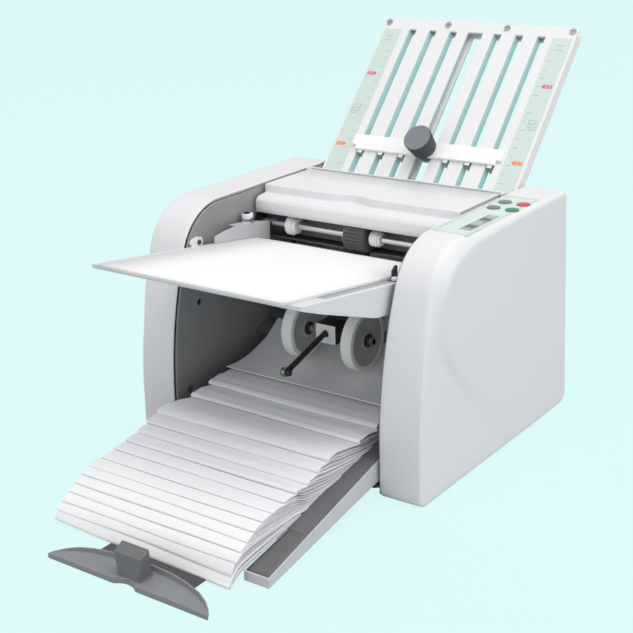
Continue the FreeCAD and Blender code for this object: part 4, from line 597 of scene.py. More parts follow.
def cover_openings():
    """Solids to cut from the right cover: label recess, window, buttons, inlet and switch, the last
    two leaned with the rear wall."""
    low, high = span("control_panel")
    forms = [block_between(low - OPENING_PLAY, high + (OPENING_PLAY, OPENING_PLAY, 2))]
    low, high = span("display_window")
    forms.append(block_between(low + (1, 1, -8), high + (-1, -1, 0)))
    for node in BUTTONS:
        low, high = span(node)
        radius = (high[0] - low[0]) / 2 + OPENING_PLAY
        profile = [(COVER_H - 8, 0), (COVER_H - 8, radius), (COVER_H, radius), (COVER_H, 0)]
        forms.append(lathe(profile, (*middle_of(node)[:2], 0), UPRIGHT))
    rear = REAR_FOOT_Y - REAR_LEAN
    for node, border in (("power_inlet", 3.0), ("power_switch", 0.0)):
        low, high = span(node)
        points, faces = block_between((low[0] + border, rear - 8, low[2] + border),
                                      (high[0] - border, rear + 8, high[2] - border))
        points[:, 1] += REAR_LEAN * (COVER_H - points[:, 2]) / COVER_H
        forms.append((points, faces))
    return forms


def cut_away(made, forms):
    """The object less some closed forms."""
    for form in forms:
        cutter = piece("cutter", form, "cover_plastic", "machine")
        cut = made.modifiers.new("cut", "BOOLEAN")
        cut.object = cutter
        cut.solver = "EXACT"
        baked(made)
        bpy.data.objects.remove(cutter)


def side_covers():
    """Both covers, each a wall on the outer surface; the right one with its openings."""
    for side, name in ((1, "right"), (2, "left")):
        surface = cover_surface(side) * (3 - 2 * side, 1, 1)
        shell = piece(name + "_cover_shell", skin(surface, around=True), "cover_plastic", "machine",
                      name + "_side_cover")
        wall(shell, COVER_WALL)
        if name == "right":
            cut_away(baked(shell), cover_openings())
            smooth(shell.data, 32)


side_covers()


# ======== hood ========
HOOD_HALF_W = span("hood")[1][0]
HOOD_REAR_Y = 239.5
HOOD_WALL = 2.5
HOOD_PROFILE = [(140.3, 211.6), (139.9, 218.0), (140.3, 223.6), (143.2, 227.2), (150.0, 228.4),
                (157.4, 229.0), (158.0, 237.9), (199.0, 238.0), (HOOD_REAR_Y, 237.6)]
HOOD_END = [(141.5, 212.0), (143.0, 224.0), (150.0, 226.6), (160.0, 227.4), (161.0, 236.4),
            (HOOD_REAR_Y - 1.5, 236.2), (HOOD_REAR_Y - 1.5, 222.0), (175.0, 222.0), (150.0, 212.0)]
SCOOP_X, SCOOP_HALF_W, SCOOP_D = -8.0, 30.0, 6.6


def scoop(x):
    """Depth of the finger scoop: a raised cosine over its width."""
    share = np.clip(np.abs(x - SCOOP_X) / SCOOP_HALF_W, 0, 1)
    return SCOOP_D * 0.5 * (1 + np.cos(math.pi * share))


def hood_shell():
    """Skin of the hood: its profile carried across, the step moved back by the scoop, and the ends
    turned down to end walls; a wall is added inwards."""
    x = np.concatenate([[-HOOD_HALF_W], np.linspace(-HOOD_HALF_W + 0.7, -44, 8), np.linspace(-42, 26, 52),
                        np.linspace(30, HOOD_HALF_W - 0.7, 10), [HOOD_HALF_W]])[:, None]
    profile_y, profile_z = softened(HOOD_PROFILE, 1.6, 6).T
    step = rise((profile_y - 150.5) / 6.5) * rise((230 - profile_y) / 60)
    at_end = np.abs(x) > HOOD_HALF_W - 0.35
    y = profile_y + scoop(x) * step + 0.3 * at_end
    z = profile_z - 0.7 * at_end
    wall(piece("hood_shell", skin(grid(x, y, z)), "cover_plastic", "hood", "hood"), HOOD_WALL)
    for side, name in ((-1, "left"), (1, "right")):
        outer = side * (HOOD_HALF_W - 0.8)
        end = extruded(HOOD_END, outer - side * HOOD_WALL, outer)
        edge_round(piece("hood_%s_end" % name, end, "cover_plastic", "hood"), 0.4)


hood_shell()


# ======== sheets on the feed table ========
SHEET_HALF_W = 105.0
STACK_X = 1.0                            # the sheets lie this far right of the middle
STACK_FRONT_Y, STACK_REAR_Y = -113.0, 157.0
STACK_FRONT_Z = 220.1                    # underside of the sheets at their front edge
STACK_T, SHEET_COUNT = 2.4, 8
TABLE_FALL, RAMP_FALL = math.tan(math.radians(7.9)), math.tan(math.radians(18.5))
RAMP_Y, RAMP_BEND = 118.0, 5.0


def stack_under(y):
    """Underside of the sheets: a slope to the rear, and past RAMP_Y a steeper one, joined by a
    parabola over RAMP_BEND each way."""
    past = np.clip(y - RAMP_Y, -RAMP_BEND, None)
    bend = np.where(past < RAMP_BEND, (past + RAMP_BEND) ** 2 / (4 * RAMP_BEND), past)
    return STACK_FRONT_Z - TABLE_FALL * (y - STACK_FRONT_Y) - (RAMP_FALL - TABLE_FALL) * bend


def paper_stack():
    """Sheets laid one on another, each a little off its place: z = underside + (k + 1/2) * T / n."""
    each = STACK_T / SHEET_COUNT
    y = np.concatenate([np.linspace(STACK_FRONT_Y + 0.4, 108, 12), np.linspace(111, 125, 10),
                        np.linspace(129, STACK_REAR_Y - 0.5, 5)])
    x = STACK_X + np.linspace(-SHEET_HALF_W, SHEET_HALF_W, 5)[:, None]
    forms = []
    for k in range(SHEET_COUNT):
        across, back = rng.uniform(-0.3, 0.3, 2)
        forms.append(skin(grid(x + across, y + back, stack_under(y) + (k + 0.5) * each)))
    wall(piece("blank_sheets", together(forms), "sheet_paper", "machine", "paper_stack"), each * 0.94, 0)


paper_stack()


# ======== folded sheets on the tray ========
TRAY_MOUTH_TOP, TRAY_FRONT_TOP, TRAY_FRONT_Y = 36.5, 6.5, -178.0
LEAF_LENGTH = 103.0
LEAF_PLY = 0.3
LEAF_LIFT = 0.55                         # a folded edge stands this far off the sheet below
LEAF_GROUND = 0.35                       # height of the lowest leaf over the tray
LEAF_OPENS, LEAF_BLUNT = 0.09, 0.76      # a folded sheet is thin in front and opens over this share
LEAF_SINKS = 0.85                        # a folded sheet is this much flatter at its rear end
LEAF_STEPS = np.array([0, 0.07, 0.25, 0.5, 1.1, 2.0, 3.2, 4.8, 7, 10, 14, 19, 26, 35, 46, 58, 71, 84, 97,
                       102.5])           # distances behind the folded edge
# Front edge (y, z) of every folded sheet at its left and its right end, the lowest sheet first.
NOSES = np.array([
    ((-193.2, 4.3), (-198.0, 5.0)), ((-188.4, 9.0), (-191.8, 10.6)), ((-182.3, 13.1), (-186.4, 16.4)),
    ((-172.7, 18.8), (-179.6, 22.4)), ((-163.6, 23.9), (-169.9, 27.6)), ((-154.7, 29.3), (-159.5, 32.2)),
    ((-145.2, 33.6), (-148.2, 36.5)), ((-129.0, 35.6), (-134.7, 38.6)), ((-110.8, 37.2), (-116.6, 40.3)),
    ((-95.1, 39.8), (-100.0, 42.0)), ((-79.3, 42.3), (-83.9, 45.4)), ((-64.7, 46.8), (-66.8, 49.6)),
    ((-48.9, 51.4), (-50.4, 54.0)), ((1.3, 54.1), (-2.7, 57.2)), ((30.3, 61.0), (27.7, 62.4)),
    ((59.8, 65.3), (56.0, 66.3))])
# Upper side (y, z) of the last sheet, which still rises to the rollers; how long and thick it is.
LAST_RISE = np.array([(58, 65.2), (66, 64.4), (76, 63.8), (93, 65.1), (104, 67.4), (115, 70.7),
                      (124, 74.0), (131, 77.2), (138, 81.2), (144, 85.4), (152, 92.0)])
LAST_LENGTH, LAST_T = 91.0, 1.0
LEAST_SWELL, MOST_SWELL = 1.6, 9.5
DESK_Z = -3.0                            # under the rubber feet


def tray_top(y):
    """The tray's sloping top."""
    return TRAY_MOUTH_TOP + (TRAY_MOUTH_TOP - TRAY_FRONT_TOP) / -TRAY_FRONT_Y * y


def sheet_ground(y):
    """What the lowest sheet lies on: the tray, and in front of it a sag by the square, which
    ends just over the desk."""
    sag = 5.0 * (np.clip(TRAY_FRONT_Y - y, 0, None) / 16) ** 2
    return np.maximum(tray_top(y) + LEAF_GROUND - sag, DESK_Z + 0.4)


def leaf_profile(out):
    """Thickness of a folded sheet as a share of its greatest, at a distance behind its fold:
    (1 - blunt * exp(-s / opens)) * (1 - sinks * s) with s = distance / length, and 0 outside it."""
    share = np.clip(out / LEAF_LENGTH, 0, 1)
    falls = rise((LEAF_LENGTH - out) / 3)
    opened = 1 - LEAF_BLUNT * np.exp(-share / LEAF_OPENS)
    return np.where(out > 0, opened * (1 - LEAF_SINKS * share) * falls, 0)


def leaf_swell():
    """Greatest thickness of each folded sheet at both ends, so that the next one's front edge lies
    at its height: thickness = (height - what the sheets below give there) / own share there."""
    swell = np.zeros((len(NOSES), 2))
    for k in range(len(NOSES) - 1):
        y, z = NOSES[k + 1, :, 0], NOSES[k + 1, :, 1]
        given = (swell[:k] * leaf_profile(y - NOSES[:k, :, 0])).sum(axis=0)
        own = leaf_profile(y - NOSES[k, :, 0])
        swell[k] = np.clip((z - sheet_ground(y) - given) / np.maximum(own, 0.25), LEAST_SWELL,
                           MOST_SWELL)
    return swell


LEAF_SWELL = leaf_swell()


def folded_leaf(k):
    """One folded sheet as two closed forms: an upper and a lower ply joined by the fold in front,
    and a flat ply between them. It lies on the sheets below, and its fold stands off them."""
    x = np.linspace(-SHEET_HALF_W + 1.0, SHEET_HALF_W - 1.0, 17)[:, None]
    share = (x + SHEET_HALF_W) / (2 * SHEET_HALF_W)
    fronts, swell = (ends[:, 0] + (ends[:, 1] - ends[:, 0]) * share for ends in (NOSES[..., 0], LEAF_SWELL))
    last = k == len(NOSES) - 1
    out = LEAF_STEPS * (LAST_LENGTH / LEAF_STEPS[-1] if last else 1.0)
    y = fronts[:, k:k + 1] + 0.4 * np.sin(x / 31 + 1.7 * k) + out
    lift = LEAF_LIFT * np.exp(-out / 5) * (1 + 0.4 * np.sin(x / 37 + 2.1 * k))
    low = sheet_ground(y) + lift + sum(swell[:, j:j + 1] * leaf_profile(y - fronts[:, j:j + 1])
                                       for j in range(k))
    high = low + np.maximum(swell[:, k:k + 1] * leaf_profile(out + 0.01), 0.8)
    if last:
        high = np.maximum(low + LAST_T, np.interp(y, *LAST_RISE.T) + share)
        low = high - LAST_T
    middle, half = (high + low) / 2, (high - low) / 2
    tip = np.sqrt(1 - (1 - np.clip(out / 0.5, 0, 1)) ** 2)
    room = np.maximum(half - LEAF_PLY, 0.05)
    ring_y = np.concatenate([y[:, ::-1], y[:, 1:], y[:, :2:-1], y[:, 3:]], axis=1)
    ring_z = np.concatenate([(middle + half * tip)[:, ::-1], (middle - half * tip)[:, 1:],
                             (middle - room)[:, :2:-1], (middle + room)[:, 3:]], axis=1)
    shift = rng.uniform(-0.9, 0.9)
    plies = skin(grid(x + shift, ring_y, ring_z), around=True, caps=True)
    flat = (middle + rng.uniform(-0.3, 0.1) * room)[:, 4:-1]
    thick = np.minimum(room[:, 4:-1] * 0.6, LEAF_PLY / 2)
    ply_y = np.concatenate([y[:, 4:-1], y[:, -2:3:-1]], axis=1)
    ply_z = np.concatenate([flat + thick, (flat - thick)[:, ::-1]], axis=1)
    ply = skin(grid(x + shift + rng.uniform(-0.6, 0.6), ply_y, ply_z), around=True, caps=True)
    return together([plies, ply])


piece("folded_leaves", together([folded_leaf(k) for k in range(len(NOSES))]), "folded_paper", "machine",
      "folded_sheets", sharp=50)


# ======== delivery tray's mat ========
TRAY_REAR_HALF_W, FLARE_Y = 98.0, -4.0   # the tray narrows to this, up to this place
NOTCH_HALF_W, NOTCH_REAR_Y = 82.2, -116.8
MAT_EDGE = 1.2                           # bare edge of the tray round the mat


def tray_mat():
    """Mat on the tray's sloping top, cut out round the notch: a U of four-sided fields."""
    low, high = span("delivery_tray")
    half, narrowing = (high[0] - low[0]) / 2, (high[0] - low[0]) / 2 - TRAY_REAR_HALF_W
    y = np.array([low[1] + 1.4, NOTCH_REAR_Y, FLARE_Y, high[1] - MAT_EDGE])
    outer = np.array([half, half - narrowing * (y[1] - y[0]) / (y[2] - y[0]), TRAY_REAR_HALF_W + 0.2,
                      TRAY_REAR_HALF_W]) - MAT_EDGE
    spread = np.unique(np.concatenate([y, np.linspace(y[0], y[3], 40)]))
    reach = np.interp(spread, y, outer)
    forms = []
    for side in (-1, 1):
        for begin, end, into in ((0, 1, NOTCH_HALF_W), (1, 3, 0.0)):
            part = (spread >= y[begin]) & (spread <= y[end])
            share = np.linspace(0, 1, 6)[:, None]
            x = (low[0] + high[0]) / 2 + side * (into + (reach[part] - into) * share)
            forms.append(skin(grid(x, spread[part], tray_top(spread[part]) + 0.02)))
    wall(piece("ribbed_mat", together(forms), "tray_mat", "machine", "tray_mat"), 0.4, 0)


tray_mat()


# ======== paper stop ========
WING_DEPTH, WING_FOOT_Z, WING_UNDER_Z = 28, -2.8, -0.2
WING_BENDS = np.array([(0.0, 0.0), (0.33, -1.5), (0.55, -5), (0.75, -10), (0.87, -15.5), (0.955, -21.5),
                       (1.0, -26)])      # share of the half width, rear edge against the middle's
NOTCH_W, NOTCH_D = 24, 5                 # round notch in the wing's front edge
TOWER_FOOT_Z, TOWER_TILT = 1.6, 5.0
# Share of the height, half width, front and rear y.
TOWER_LEVELS = np.array([(0, 14.0, -236.6, -216.8), (0.03, 12.8, -235.6, -218.2), (0.1, 12.2, -235.1, -219.2),
                         (0.5, 13.5, -235.0, -221.2), (0.9, 15.1, -235.0, -223.6),
                         (1.0, 15.1, -234.9, -223.8)])


def columns(*parts):
    """Arrays or single numbers side by side, one column each."""
    return np.concatenate(np.broadcast_arrays(*parts), axis=1)


def stop_wing():
    """Wing of the stop, as one section carried along X: lip in front, dished floor, rear rim, and
    an underside. Its rear edge bends forward to the tips, where floor and rim run together; the
    rim's height falls with the share u of the half width as 1 - u ** 4."""
    low, high = span("stop_wing")
    u = np.sin(np.linspace(-math.pi / 2, math.pi / 2, 121))[:, None]
    off = (high[0] - low[0]) / 2 * u
    rear = low[1] + WING_DEPTH + np.interp(np.abs(u), *WING_BENDS.T)
    radius = (NOTCH_W ** 2 / 4 + NOTCH_D ** 2) / (2 * NOTCH_D)
    notch = np.clip(radius ** 2 - off ** 2, 0, None) ** 0.5 - (radius - NOTCH_D)
    front = low[1] + np.clip(notch, 0, None) * rise((NOTCH_W / 2 + 0.2 - np.abs(off)) / 0.3)
    depth = np.maximum(rear - front, 2.0)
    rim_t = np.minimum(2.4, depth * 0.3)
    inner = depth - rim_t
    under = front + np.minimum(1.6, depth * 0.4)
    y = columns(front, front, front + np.minimum(0.5, depth * 0.1), front + np.minimum(2.2, depth * 0.2),
                front + inner * 0.35, front + inner * 0.7, front + inner * 0.92, front + inner,
                front + inner + rim_t * 0.25, front + inner + rim_t * 0.75, front + depth, front + depth,
                under, under)
    fall = 1 - np.abs(u) ** 4
    lip = 1.6 + 1.2 * (1 - np.abs(u) ** 6)
    rim = lip + 5.4 * fall
    dish = 1.3 * fall
    z = columns(WING_FOOT_Z, lip - 0.6, lip - 0.05, lip - 0.1, lip - dish * 0.8, lip - dish,
                lip - dish * 0.6, lip + 0.4 * fall, rim - 0.3 * fall, rim, rim - 0.8 * fall - 0.1,
                WING_UNDER_Z, WING_UNDER_Z, WING_FOOT_Z)
    wing = skin(grid((low[0] + high[0]) / 2 + off, y, z), around=True, caps=True)
    piece("wing_floor_and_rim", wing, "grey_plastic", "paper_stop", "stop_wing", sharp=32)


def stop_tower():
    """Grip of the stop: rectangles from its foot, flared where it meets the floor, to a top that is
    wider and slopes up to the rear."""
    share, half, front, rear = TOWER_LEVELS.T[..., None]
    x = middle_of("stop_wing")[0] + half * (-1, 1, 1, -1)
    height = span("stop_wing")[1][2] - TOWER_TILT - TOWER_FOOT_Z + np.array([0, 0, 1, 1]) * TOWER_TILT
    points = grid(x, columns(front, front, rear, rear), TOWER_FOOT_Z + share * height)
    made = piece("stop_grip", skin(points, around=True, caps=True), "grip_plastic", "paper_stop")
    edge_round(made, 0.7, 3, 25)


stop_wing()
stop_tower()


# ======== feed roller and press wheels ========
FEED_SHIFT = 7.0                         # the roller sits this far right of its solid
SHAFT_BORE = 4.05
# Profiles (x, radius) of the left collar, the ring and the right collar, up to their right end.
COLLARS = [[(-83, 9.6), (-82.2, 10.4), (-76.0, 10.4), (-75.2, 9.7), (-74.8, 8.4), (-71.8, 8.4),
            (-71.2, 7.8), (-71.0, SHAFT_BORE)],
           [(-10.2, 8.8), (-9.7, 9.3), (-8.6, 9.3), (-8.1, 8.8), (-8.1, SHAFT_BORE)],
           [(21.2, 7.6), (21.8, 8.2), (29.6, 8.2), (30.4, 7.6), (30.7, 6.6), (33.0, 6.6), (33.4, 6.2),
            (33.4, SHAFT_BORE)]]


def feed_roller():
    """Ribbed roller: radius = R - groove * (1 - share), with the share of tanh(3 cos(ribs * a))."""
    low, high = span("feed_roller")
    centre, outer, ribs, groove = (low + high) / 2, (high[2] - low[2]) / 2, 26, 1.3
    angle = np.linspace(0, 2 * math.pi, ribs * 12, endpoint=False)
    radius = outer - groove * (0.5 - 0.5 * np.tanh(3 * np.cos(ribs * angle)))
    left, right = low[0] + FEED_SHIFT, high[0] + FEED_SHIFT - 2
    x = np.array([left, left, left + 0.5, right - 0.5, right, right])[:, None]
    reach = SHAFT_BORE + (radius - SHAFT_BORE) * np.array([0, 0.96, 1, 1, 0.96, 0])[:, None]
    points = grid(x, centre[1] + reach * np.cos(angle), centre[2] + reach * np.sin(angle))
    piece("ribbed_roller", skin(points, along=True, around=True), "feed_rubber", "feed_shaft", "feed_roller")


def collars():
    """White collars on the feed shaft, each with a step, and a thin ring beside the roller."""
    place = (0, *middle_of("feed_roller")[1:])
    forms = [lathe([(profile[0][0], SHAFT_BORE)] + profile + [(profile[0][0], SHAFT_BORE)], place)
             for profile in COLLARS]
    piece("feed_collars", together(forms), "white_nylon", "feed_shaft", "feed_shaft_collars")


def both_ways(profile):
    """A ring's profile (along, radius), given for its left half, with its right half and closed."""
    return profile + [(-along, radius) for along, radius in profile[::-1]] + profile[:1]


def press_wheel(node, body):
    """Wheel on the press axle: rubber tread with round shoulders, dished grey discs, a black hub."""
    low, high = span(node)
    outer, left, hub_left, bore = (high[2] - low[2]) / 2, -6.5, (low[0] - high[0]) / 2, 4.1
    tread = [(left, outer - 5.2), (left, outer - 1.2), (left + 0.35, outer - 0.4), (left + 1.2, outer)]
    dish = [(left + 0.4, outer - 5.2), (left + 1.1, outer - 6.4), (left + 1.1, 9.6), (left + 0.4, 8.6),
            (left + 0.4, 6.9)]
    hub = [(hub_left, bore), (hub_left, 6.0), (hub_left + 0.6, 6.8)]
    for part, profile, segments, material, stands_for in (
            ("_tread", tread, 96, "wheel_tread", node), ("_discs", dish, 72, "wheel_disc", None),
            ("_hub", hub, 48, "black_plastic", None)):
        form = lathe(both_ways(profile), middle_of(node), segments=segments)
        piece(node + part, form, material, body, stands_for)


def press_axle():
    """Bright sleeves on the press axle outside its yoke."""
    start, end, radius = 12.1, span("press_yoke")[1][0], 4.06
    profile = [(start, 0), (start, radius), (end - 0.5, radius), (end, radius - 0.6), (end, 0)]
    place = (0, *middle_of("left_press_wheel")[1:])
    sleeves = [lathe(profile, place, (side, 0, 0)) for side in (-1, 1)]
    piece("axle_sleeves", together(sleeves), "chrome", "press_unit")


def press_lever():
    """Round lever, waisted behind its grip, with a domed bright cap and a black button at its end."""
    low, high = span("press_lever")
    end = np.array([0.0, low[1] + 5.0, low[2] + 5.0])
    way = np.array([0.0, high[1] - 1.0, high[2] - 2.0]) - end
    reach = np.linalg.norm(way)
    rod = [(0, 0), (0, 2.7), (3, 2.9), (6, 3.3), (9, 2.9), (reach - 2, 2.9), (reach, 2.9), (reach, 0)]
    piece("lever_rod", lathe(rod, end, way, 32), "black_plastic", "press_unit", "press_lever")
    cap = [(1.0, 0), (1.0, 4.4), (0, 4.9), (-2.4, 4.9), (-4.6, 4.1), (-5.8, 2.6), (-6.0, 0)]
    piece("lever_cap", lathe(cap, end), "cap_metal", "press_unit")
    button = [(0.9, 0), (0.9, 3.2), (4.6, 3.2), (5.6, 2.6), (6.0, 1.4), (6.0, 0)]
    piece("lever_button", lathe(button, end, segments=32), "black_plastic", "press_unit")


feed_roller()
collars()
press_wheel("left_press_wheel", "left_wheel")
press_wheel("right_press_wheel", "right_wheel")
press_axle()
press_lever()


# ======== side guides ========
def knurled(profile, place, axis, segments, depth, teeth, ribbed):
    """A lathe form whose radius is cut to a depth by teeth, on the rows that are ribbed."""
    points, faces = lathe(profile, place, axis, segments)
    axis = np.array(axis, float) / np.linalg.norm(axis)
    off = points.reshape(len(profile), segments, 3) - place
    along = (off @ axis)[..., None] * axis
    angle = teeth * np.arange(segments) * 2 * math.pi / segments
    cut = depth * (0.5 - 0.5 * np.cos(angle)) * np.array(ribbed)[:, None]
    return (place + along + (off - along) * (1 - cut[..., None])).reshape(-1, 3), faces


def thumbscrew():
    """White knurled head on the left guide's screw, over a washer with a tab."""
    place = np.array((-113.0, 118.0, span("left_paper_guide")[1][2]))
    profile = [(0, 0), (0, 3.2), (0.9, 3.4), (0.9, 5.4), (1.4, 6.0), (5.0, 6.0), (5.6, 5.4), (5.9, 4.4),
               (5.9, 0)]
    head = knurled(profile, place - (0, 0, 5.9), UPRIGHT, 160, 0.05, 32, [0, 0, 0, 1, 1, 1, 1, 0, 0])
    piece("thumbscrew_head", head, "white_plastic", "left_guide")
    washer = lathe([(0, 0), (0, 5.9), (0.8, 5.9), (0.8, 0)], place - (0, 0, 8.2), UPRIGHT)
    tab = block_between(place - (0, 2.2, 8.2), place + (10, 2.2, -7.4))
    piece("thumbscrew_washer", together([washer, tab]), "zinc_steel", "left_guide")


def right_guide():
    """Dark angle at the sheets' right side: an upright face and a foot, with a white screw."""
    low, high = span("right_paper_guide")
    face, thick, front, rear, foot = low[0] + 1.6, 1.5, low[1] + 8.0, high[1], low[2] + 0.1
    upright = extruded([(front, foot + 2.2), (front, high[2] - 5.5), (front + 5.5, high[2] - 1.4),
                        (rear, high[2] - 2.6), (rear, foot)], face, face + thick)
    plate = extruded([(low[1] + 1, foot + 1.2), (low[1] + 1, foot + 2.6), (rear, foot + 1.5), (rear, foot)],
                     face, high[0])
    edge_round(piece("right_guide_angle", together([upright, plate]), "guide_steel", "right_guide",
                     "right_paper_guide"), 0.3)
    place = ((face + thick + high[0]) / 2, low[1] + 5, foot + 2.4)
    head = lathe([(0, 0), (0, 3.4), (1.8, 3.4), (2.4, 2.8), (2.5, 0)], place, UPRIGHT, 40)
    piece("right_guide_screw", head, "white_plastic", "right_guide")


thumbscrew()
right_guide()


# ======== control panel ========
def flat_bars(bars, top, height):
    """Thin raised bars: each (x0, x1, y0, y1), lying on a height."""
    return together([block_between((x0, y0, top), (x1, y1, top + height)) for x0, x1, y0, y1 in bars])


def push_button(node, material):
    """Button with a low dome on a straight skirt, and its stem."""
    low, high = span(node)
    radius, top, skirt = (high[0] - low[0]) / 2, high[2], COVER_H - 7
    profile = [(low[2], 0), (low[2], 2.4), (skirt, 2.4), (skirt, radius), (top - 1.25, radius)] \
        + [(top - 0.95 * (r / radius) ** 2.4, r) for r in np.linspace(radius, 0, 9)]
    form = lathe(profile, (*middle_of(node)[:2], 0), UPRIGHT, 64)
    piece(node + "_cap", form, material, node, node, sharp=50)


def segment_digit(x, y, size):
    """Figure eight of seven display bars, twice as long as wide, as (x0, x1, y0, y1)."""
    wide, bar = size / 2, size * 0.14
    rows = [(x, x + wide, y + at * (size - bar), y + at * (size - bar) + bar) for at in (0, 0.5, 1)]
    posts = [(x + side * (wide - bar), x + side * (wide - bar) + bar, y + at * size / 2 + bar * 0.4,
              y + (at + 1) * size / 2 - bar * 0.4) for side in (0, 1) for at in (0, 1)]
    return rows + posts


def panel_details():
    """Thin border round the label, and the window's two plain counters."""
    (x0, y0, _), (x1, y1, _) = np.array(span("control_panel")) + [[2.2], [-2.2]]
    line = 0.45
    border = [(x0, x1, y0, y0 + line), (x0, x1, y1 - line, y1), (x0, x0 + line, y0, y1),
              (x1 - line, x1, y0, y1)]
    piece("label_border", flat_bars(border, COVER_H, 0.05), "thin_print", "machine")
    low, high = span("display_window")
    digits = [bar for y in (low[1] + 9, low[1] + 37) for x in (-4.9, 0.5)
              for bar in segment_digit((low[0] + high[0]) / 2 + x, y, 8.8)]
    piece("window_digits", flat_bars(digits, COVER_H, 0.05), "display_ink", "machine")
    bands = [(low[0] + 0.8, high[0] - 0.8, low[1] + y, low[1] + y + 0.35) for y in (6.5, 20, 34.5, 48)]
    piece("window_lines", flat_bars(bands, COVER_H, 0.04), "thin_print", "machine")


for node, material in zip(BUTTONS, ("button_grey", "button_green", "button_grey", "button_red")):
    push_button(node, material)
panel_details()


# ======== fold plate's marks and knob ========
PLATE_TILT = math.radians(46.7)
PLATE_TOP_Y, PLATE_TOP_Z = 410.6, 384.3
PLATE_NORMAL = (0.0, -math.sin(PLATE_TILT), math.cos(PLATE_TILT))
STRIP_T = 0.4
SLOT_PITCH, SLOT_OFFSET, SLOT_HALF_W = 26.8, 1.4, 4.75
FLANGE_T = 1.0


def on_plate(form):
    """A form given as (across, up the plate from its top edge, off its face) at its place."""
    points, faces = form
    x, up, off = points.T
    y = PLATE_TOP_Y + up * math.cos(PLATE_TILT) - off * math.sin(PLATE_TILT)
    z = PLATE_TOP_Z + up * math.sin(PLATE_TILT) + off * math.cos(PLATE_TILT)
    return np.stack([x, y, z], axis=1), faces


def plate_marks(name, bars, material):
    """Thin bars (x0, x1, u0, u1) on both strips of the plate, mirrored about its middle."""
    bars = bars + [(-x1, -x0, u0, u1) for x0, x1, u0, u1 in bars]
    piece(name, on_plate(flat_bars(bars, STRIP_T, 0.06)), material, "machine")


def arrow_bars(x, u):
    """Sign that points to the sheets: an arrow head of thin bars, and three short upright bars."""
    head = [(x + k * 0.62, x + (k + 1) * 0.62, u - 0.5 - k * 0.42, u + 0.5 + k * 0.42) for k in range(7)]
    row = [(x + 5.2 + 2.7 * k, x + 7.1 + 2.7 * k, u - 2.6, u + 2.6) for k in range(3)]
    return head + row


def scale_marks():
    """Generic scale: ticks along each strip's inner side, a format frame and three set marks."""
    ticks = [(99.0, 102.5 if k % 2 else 105.0, u, u + 0.5)
             for k, u in enumerate(np.linspace(-46, -200, 15))]
    frame_lines = [(103.5, 112.5, -25.4, -24.9), (103.5, 112.5, -31.4, -30.9)]
    plate_marks("scale_ticks", ticks + frame_lines, "thin_print")
    sheets = [(106, 114, u, u + 0.5) for u in (-121, -125.5, -130)] \
        + [(106, 106.5, -130, -120.5), (113.5, 114, -130, -120.5), (108.5, 109, -133, -123.5),
           (108.5, 116.5, -133, -132.5), (116, 116.5, -133, -123.5)]
    plate_marks("scale_sheet_signs", sheets, "blue_print")
    plate_marks("scale_upper_arrows", arrow_bars(104.5, -78), "pink_print")
    plate_marks("scale_lower_arrows", arrow_bars(104.5, -174), "orange_print")


def stop_knob():
    """Clamping knob: a finely ribbed side, a little wider at its top, a smooth pale end face with a
    shallow hollow, and its stud with the clamping foot behind the grille."""
    face = np.array((0.0, 274.0, 278.0))
    out, rear, lip = 15.9, -22.0, 15.9 * 0.95
    profile = [(rear, 0), (rear, out * 0.82), (rear + 1, out * 0.86), (-1.6, out), (-0.6, out * 0.985),
               (-0.1, lip)]
    side = knurled(profile, face, PLATE_NORMAL, 288, 0.035, 36, [0, 0, 1, 1, 0, 0])
    piece("stop_knob_side", side, "knob_side", "upper_knob", "upper_stop_knob", sharp=50)
    stud = [(-34.5, 0), (-34.5, 10.6), (-31.1, 10.6), (-31.1, 3.0), (rear - 0.05, 3.0), (rear - 0.05, 0)]
    piece("stop_knob_stud", lathe(stud, face, PLATE_NORMAL), "zinc_steel", "upper_knob")
    hollow = [(-0.1 - 0.5 * (1 - (r / lip) ** 2), r) for r in np.linspace(lip, 0, 8)]
    piece("stop_knob_face", lathe(hollow, face, PLATE_NORMAL, 96), "knob_face", "upper_knob", sharp=60)


def slot_flanges():
    """Rims that stand behind the front grille along both sides of its outer slots, in the slots' painted
    shade colour, tinted like the backdrop.
    """
    forms = []
    for x in np.array([1, 2, 3]) * SLOT_PITCH + SLOT_OFFSET:
        for edge in (x - SLOT_HALF_W - FLANGE_T, x + SLOT_HALF_W, -x - SLOT_HALF_W - FLANGE_T,
                     -x + SLOT_HALF_W):
            forms.append(block_between((edge, -216, -10.6), (edge + FLANGE_T, -14, -2.9)))
    piece("slot_flanges", on_plate(together(forms)), "slot_edge", "machine")


scale_marks()
slot_flanges()
stop_knob()


# Every CAD node that no piece stands for yet gets its finish and rounded edges.
for node, source in frame["nodes"].items():
    if not source.hide_render:
        dressed(node, BEVEL.get(node, PLAIN_BEVEL))


# ======== floor, light and backdrop ========
BACKDROP = srgb(225, 255, 255)
FLOOR_HALF = 6.0                         # metres
FLOOR_GLOW = 0.91                        # share of the backdrop's colour that the camera sees on it
FILL = 0.6                               # strength of the even light from all round


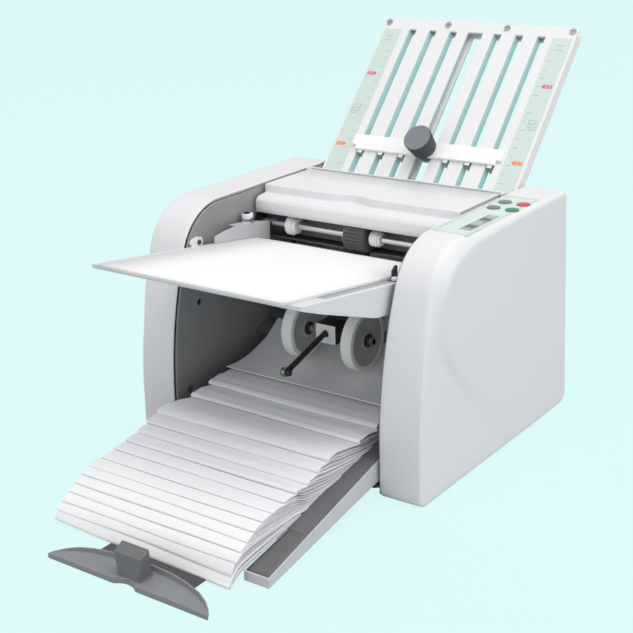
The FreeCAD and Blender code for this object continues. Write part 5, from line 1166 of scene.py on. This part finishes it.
def make_floor():
    """Pale floor at desk level: what the camera sees is the backdrop's colour, darkened by shadow."""
    mesh = bpy.data.meshes.new("floor")
    signs = ((-1, -1), (1, -1), (1, 1), (-1, 1))
    mesh.from_pydata([(x * FLOOR_HALF, y * FLOOR_HALF, cad_box[0].z) for x, y in signs], [],
                     [(0, 1, 2, 3)])
    material = bpy.data.materials.new("floor")
    material.use_nodes = True
    tree = material.node_tree
    paint = fed(tree, tree.nodes["Principled BSDF"], {"Base Color": srgb(194, 202, 204), "Roughness": 0.9})
    glow = added(tree, "Emission", {"Color": BACKDROP})
    seen = added(tree, "LightPath").outputs["Is Camera Ray"]
    share = added(tree, "Math", {0: seen, 1: FLOOR_GLOW}, operation="MULTIPLY").outputs["Value"]
    mix = added(tree, "MixShader", {0: share, 1: paint.outputs["BSDF"], 2: glow.outputs["Emission"]})
    fed(tree, tree.nodes["Material Output"], {"Surface": mix.outputs["Shader"]})
    mesh.materials.append(material)
    shown("floor", mesh)


def make_world():
    """Even white light, with the backdrop's colour for the camera, also through clear pieces."""
    world = bpy.data.worlds.new("studio")
    bpy.context.scene.world = world
    world.use_nodes = True
    tree = world.node_tree
    fill = fed(tree, tree.nodes["Background"], {"Color": (1, 1, 1, 1), "Strength": FILL})
    backdrop = added(tree, "Background", {"Color": BACKDROP})
    path = added(tree, "LightPath")
    seen = added(tree, "Math", {0: path.outputs["Is Camera Ray"], 1: path.outputs["Is Transmission Ray"]},
                 operation="MAXIMUM").outputs["Value"]
    mix = added(tree, "MixShader", {0: seen, 1: fill.outputs["Background"],
                                    2: backdrop.outputs["Background"]})
    fed(tree, tree.nodes["World Output"], {"Surface": mix.outputs["Shader"]})


def make_lamp(name, place, size, power):
    """Square soft box at a place in metres, facing the machine's middle."""
    data = bpy.data.lights.new(name, "AREA")
    data.size, data.energy = size, power
    lamp = shown(name, data)
    lamp.location = place
    aim = Vector((0, 0, 0.12)) - Vector(place)
    lamp.rotation_euler = aim.to_track_quat("-Z", "Y").to_euler()


make_floor()
make_world()
make_lamp("top_box", (0.5, -0.35, 2.35), 1.8, 24.5)
make_lamp("side_box", (1.6, 0.1, 1.25), 1.1, 6.5)
make_lamp("front_box", (-0.8, -1.8, 0.75), 1.2, 2)
bpy.context.scene.view_settings.view_transform = "Standard"
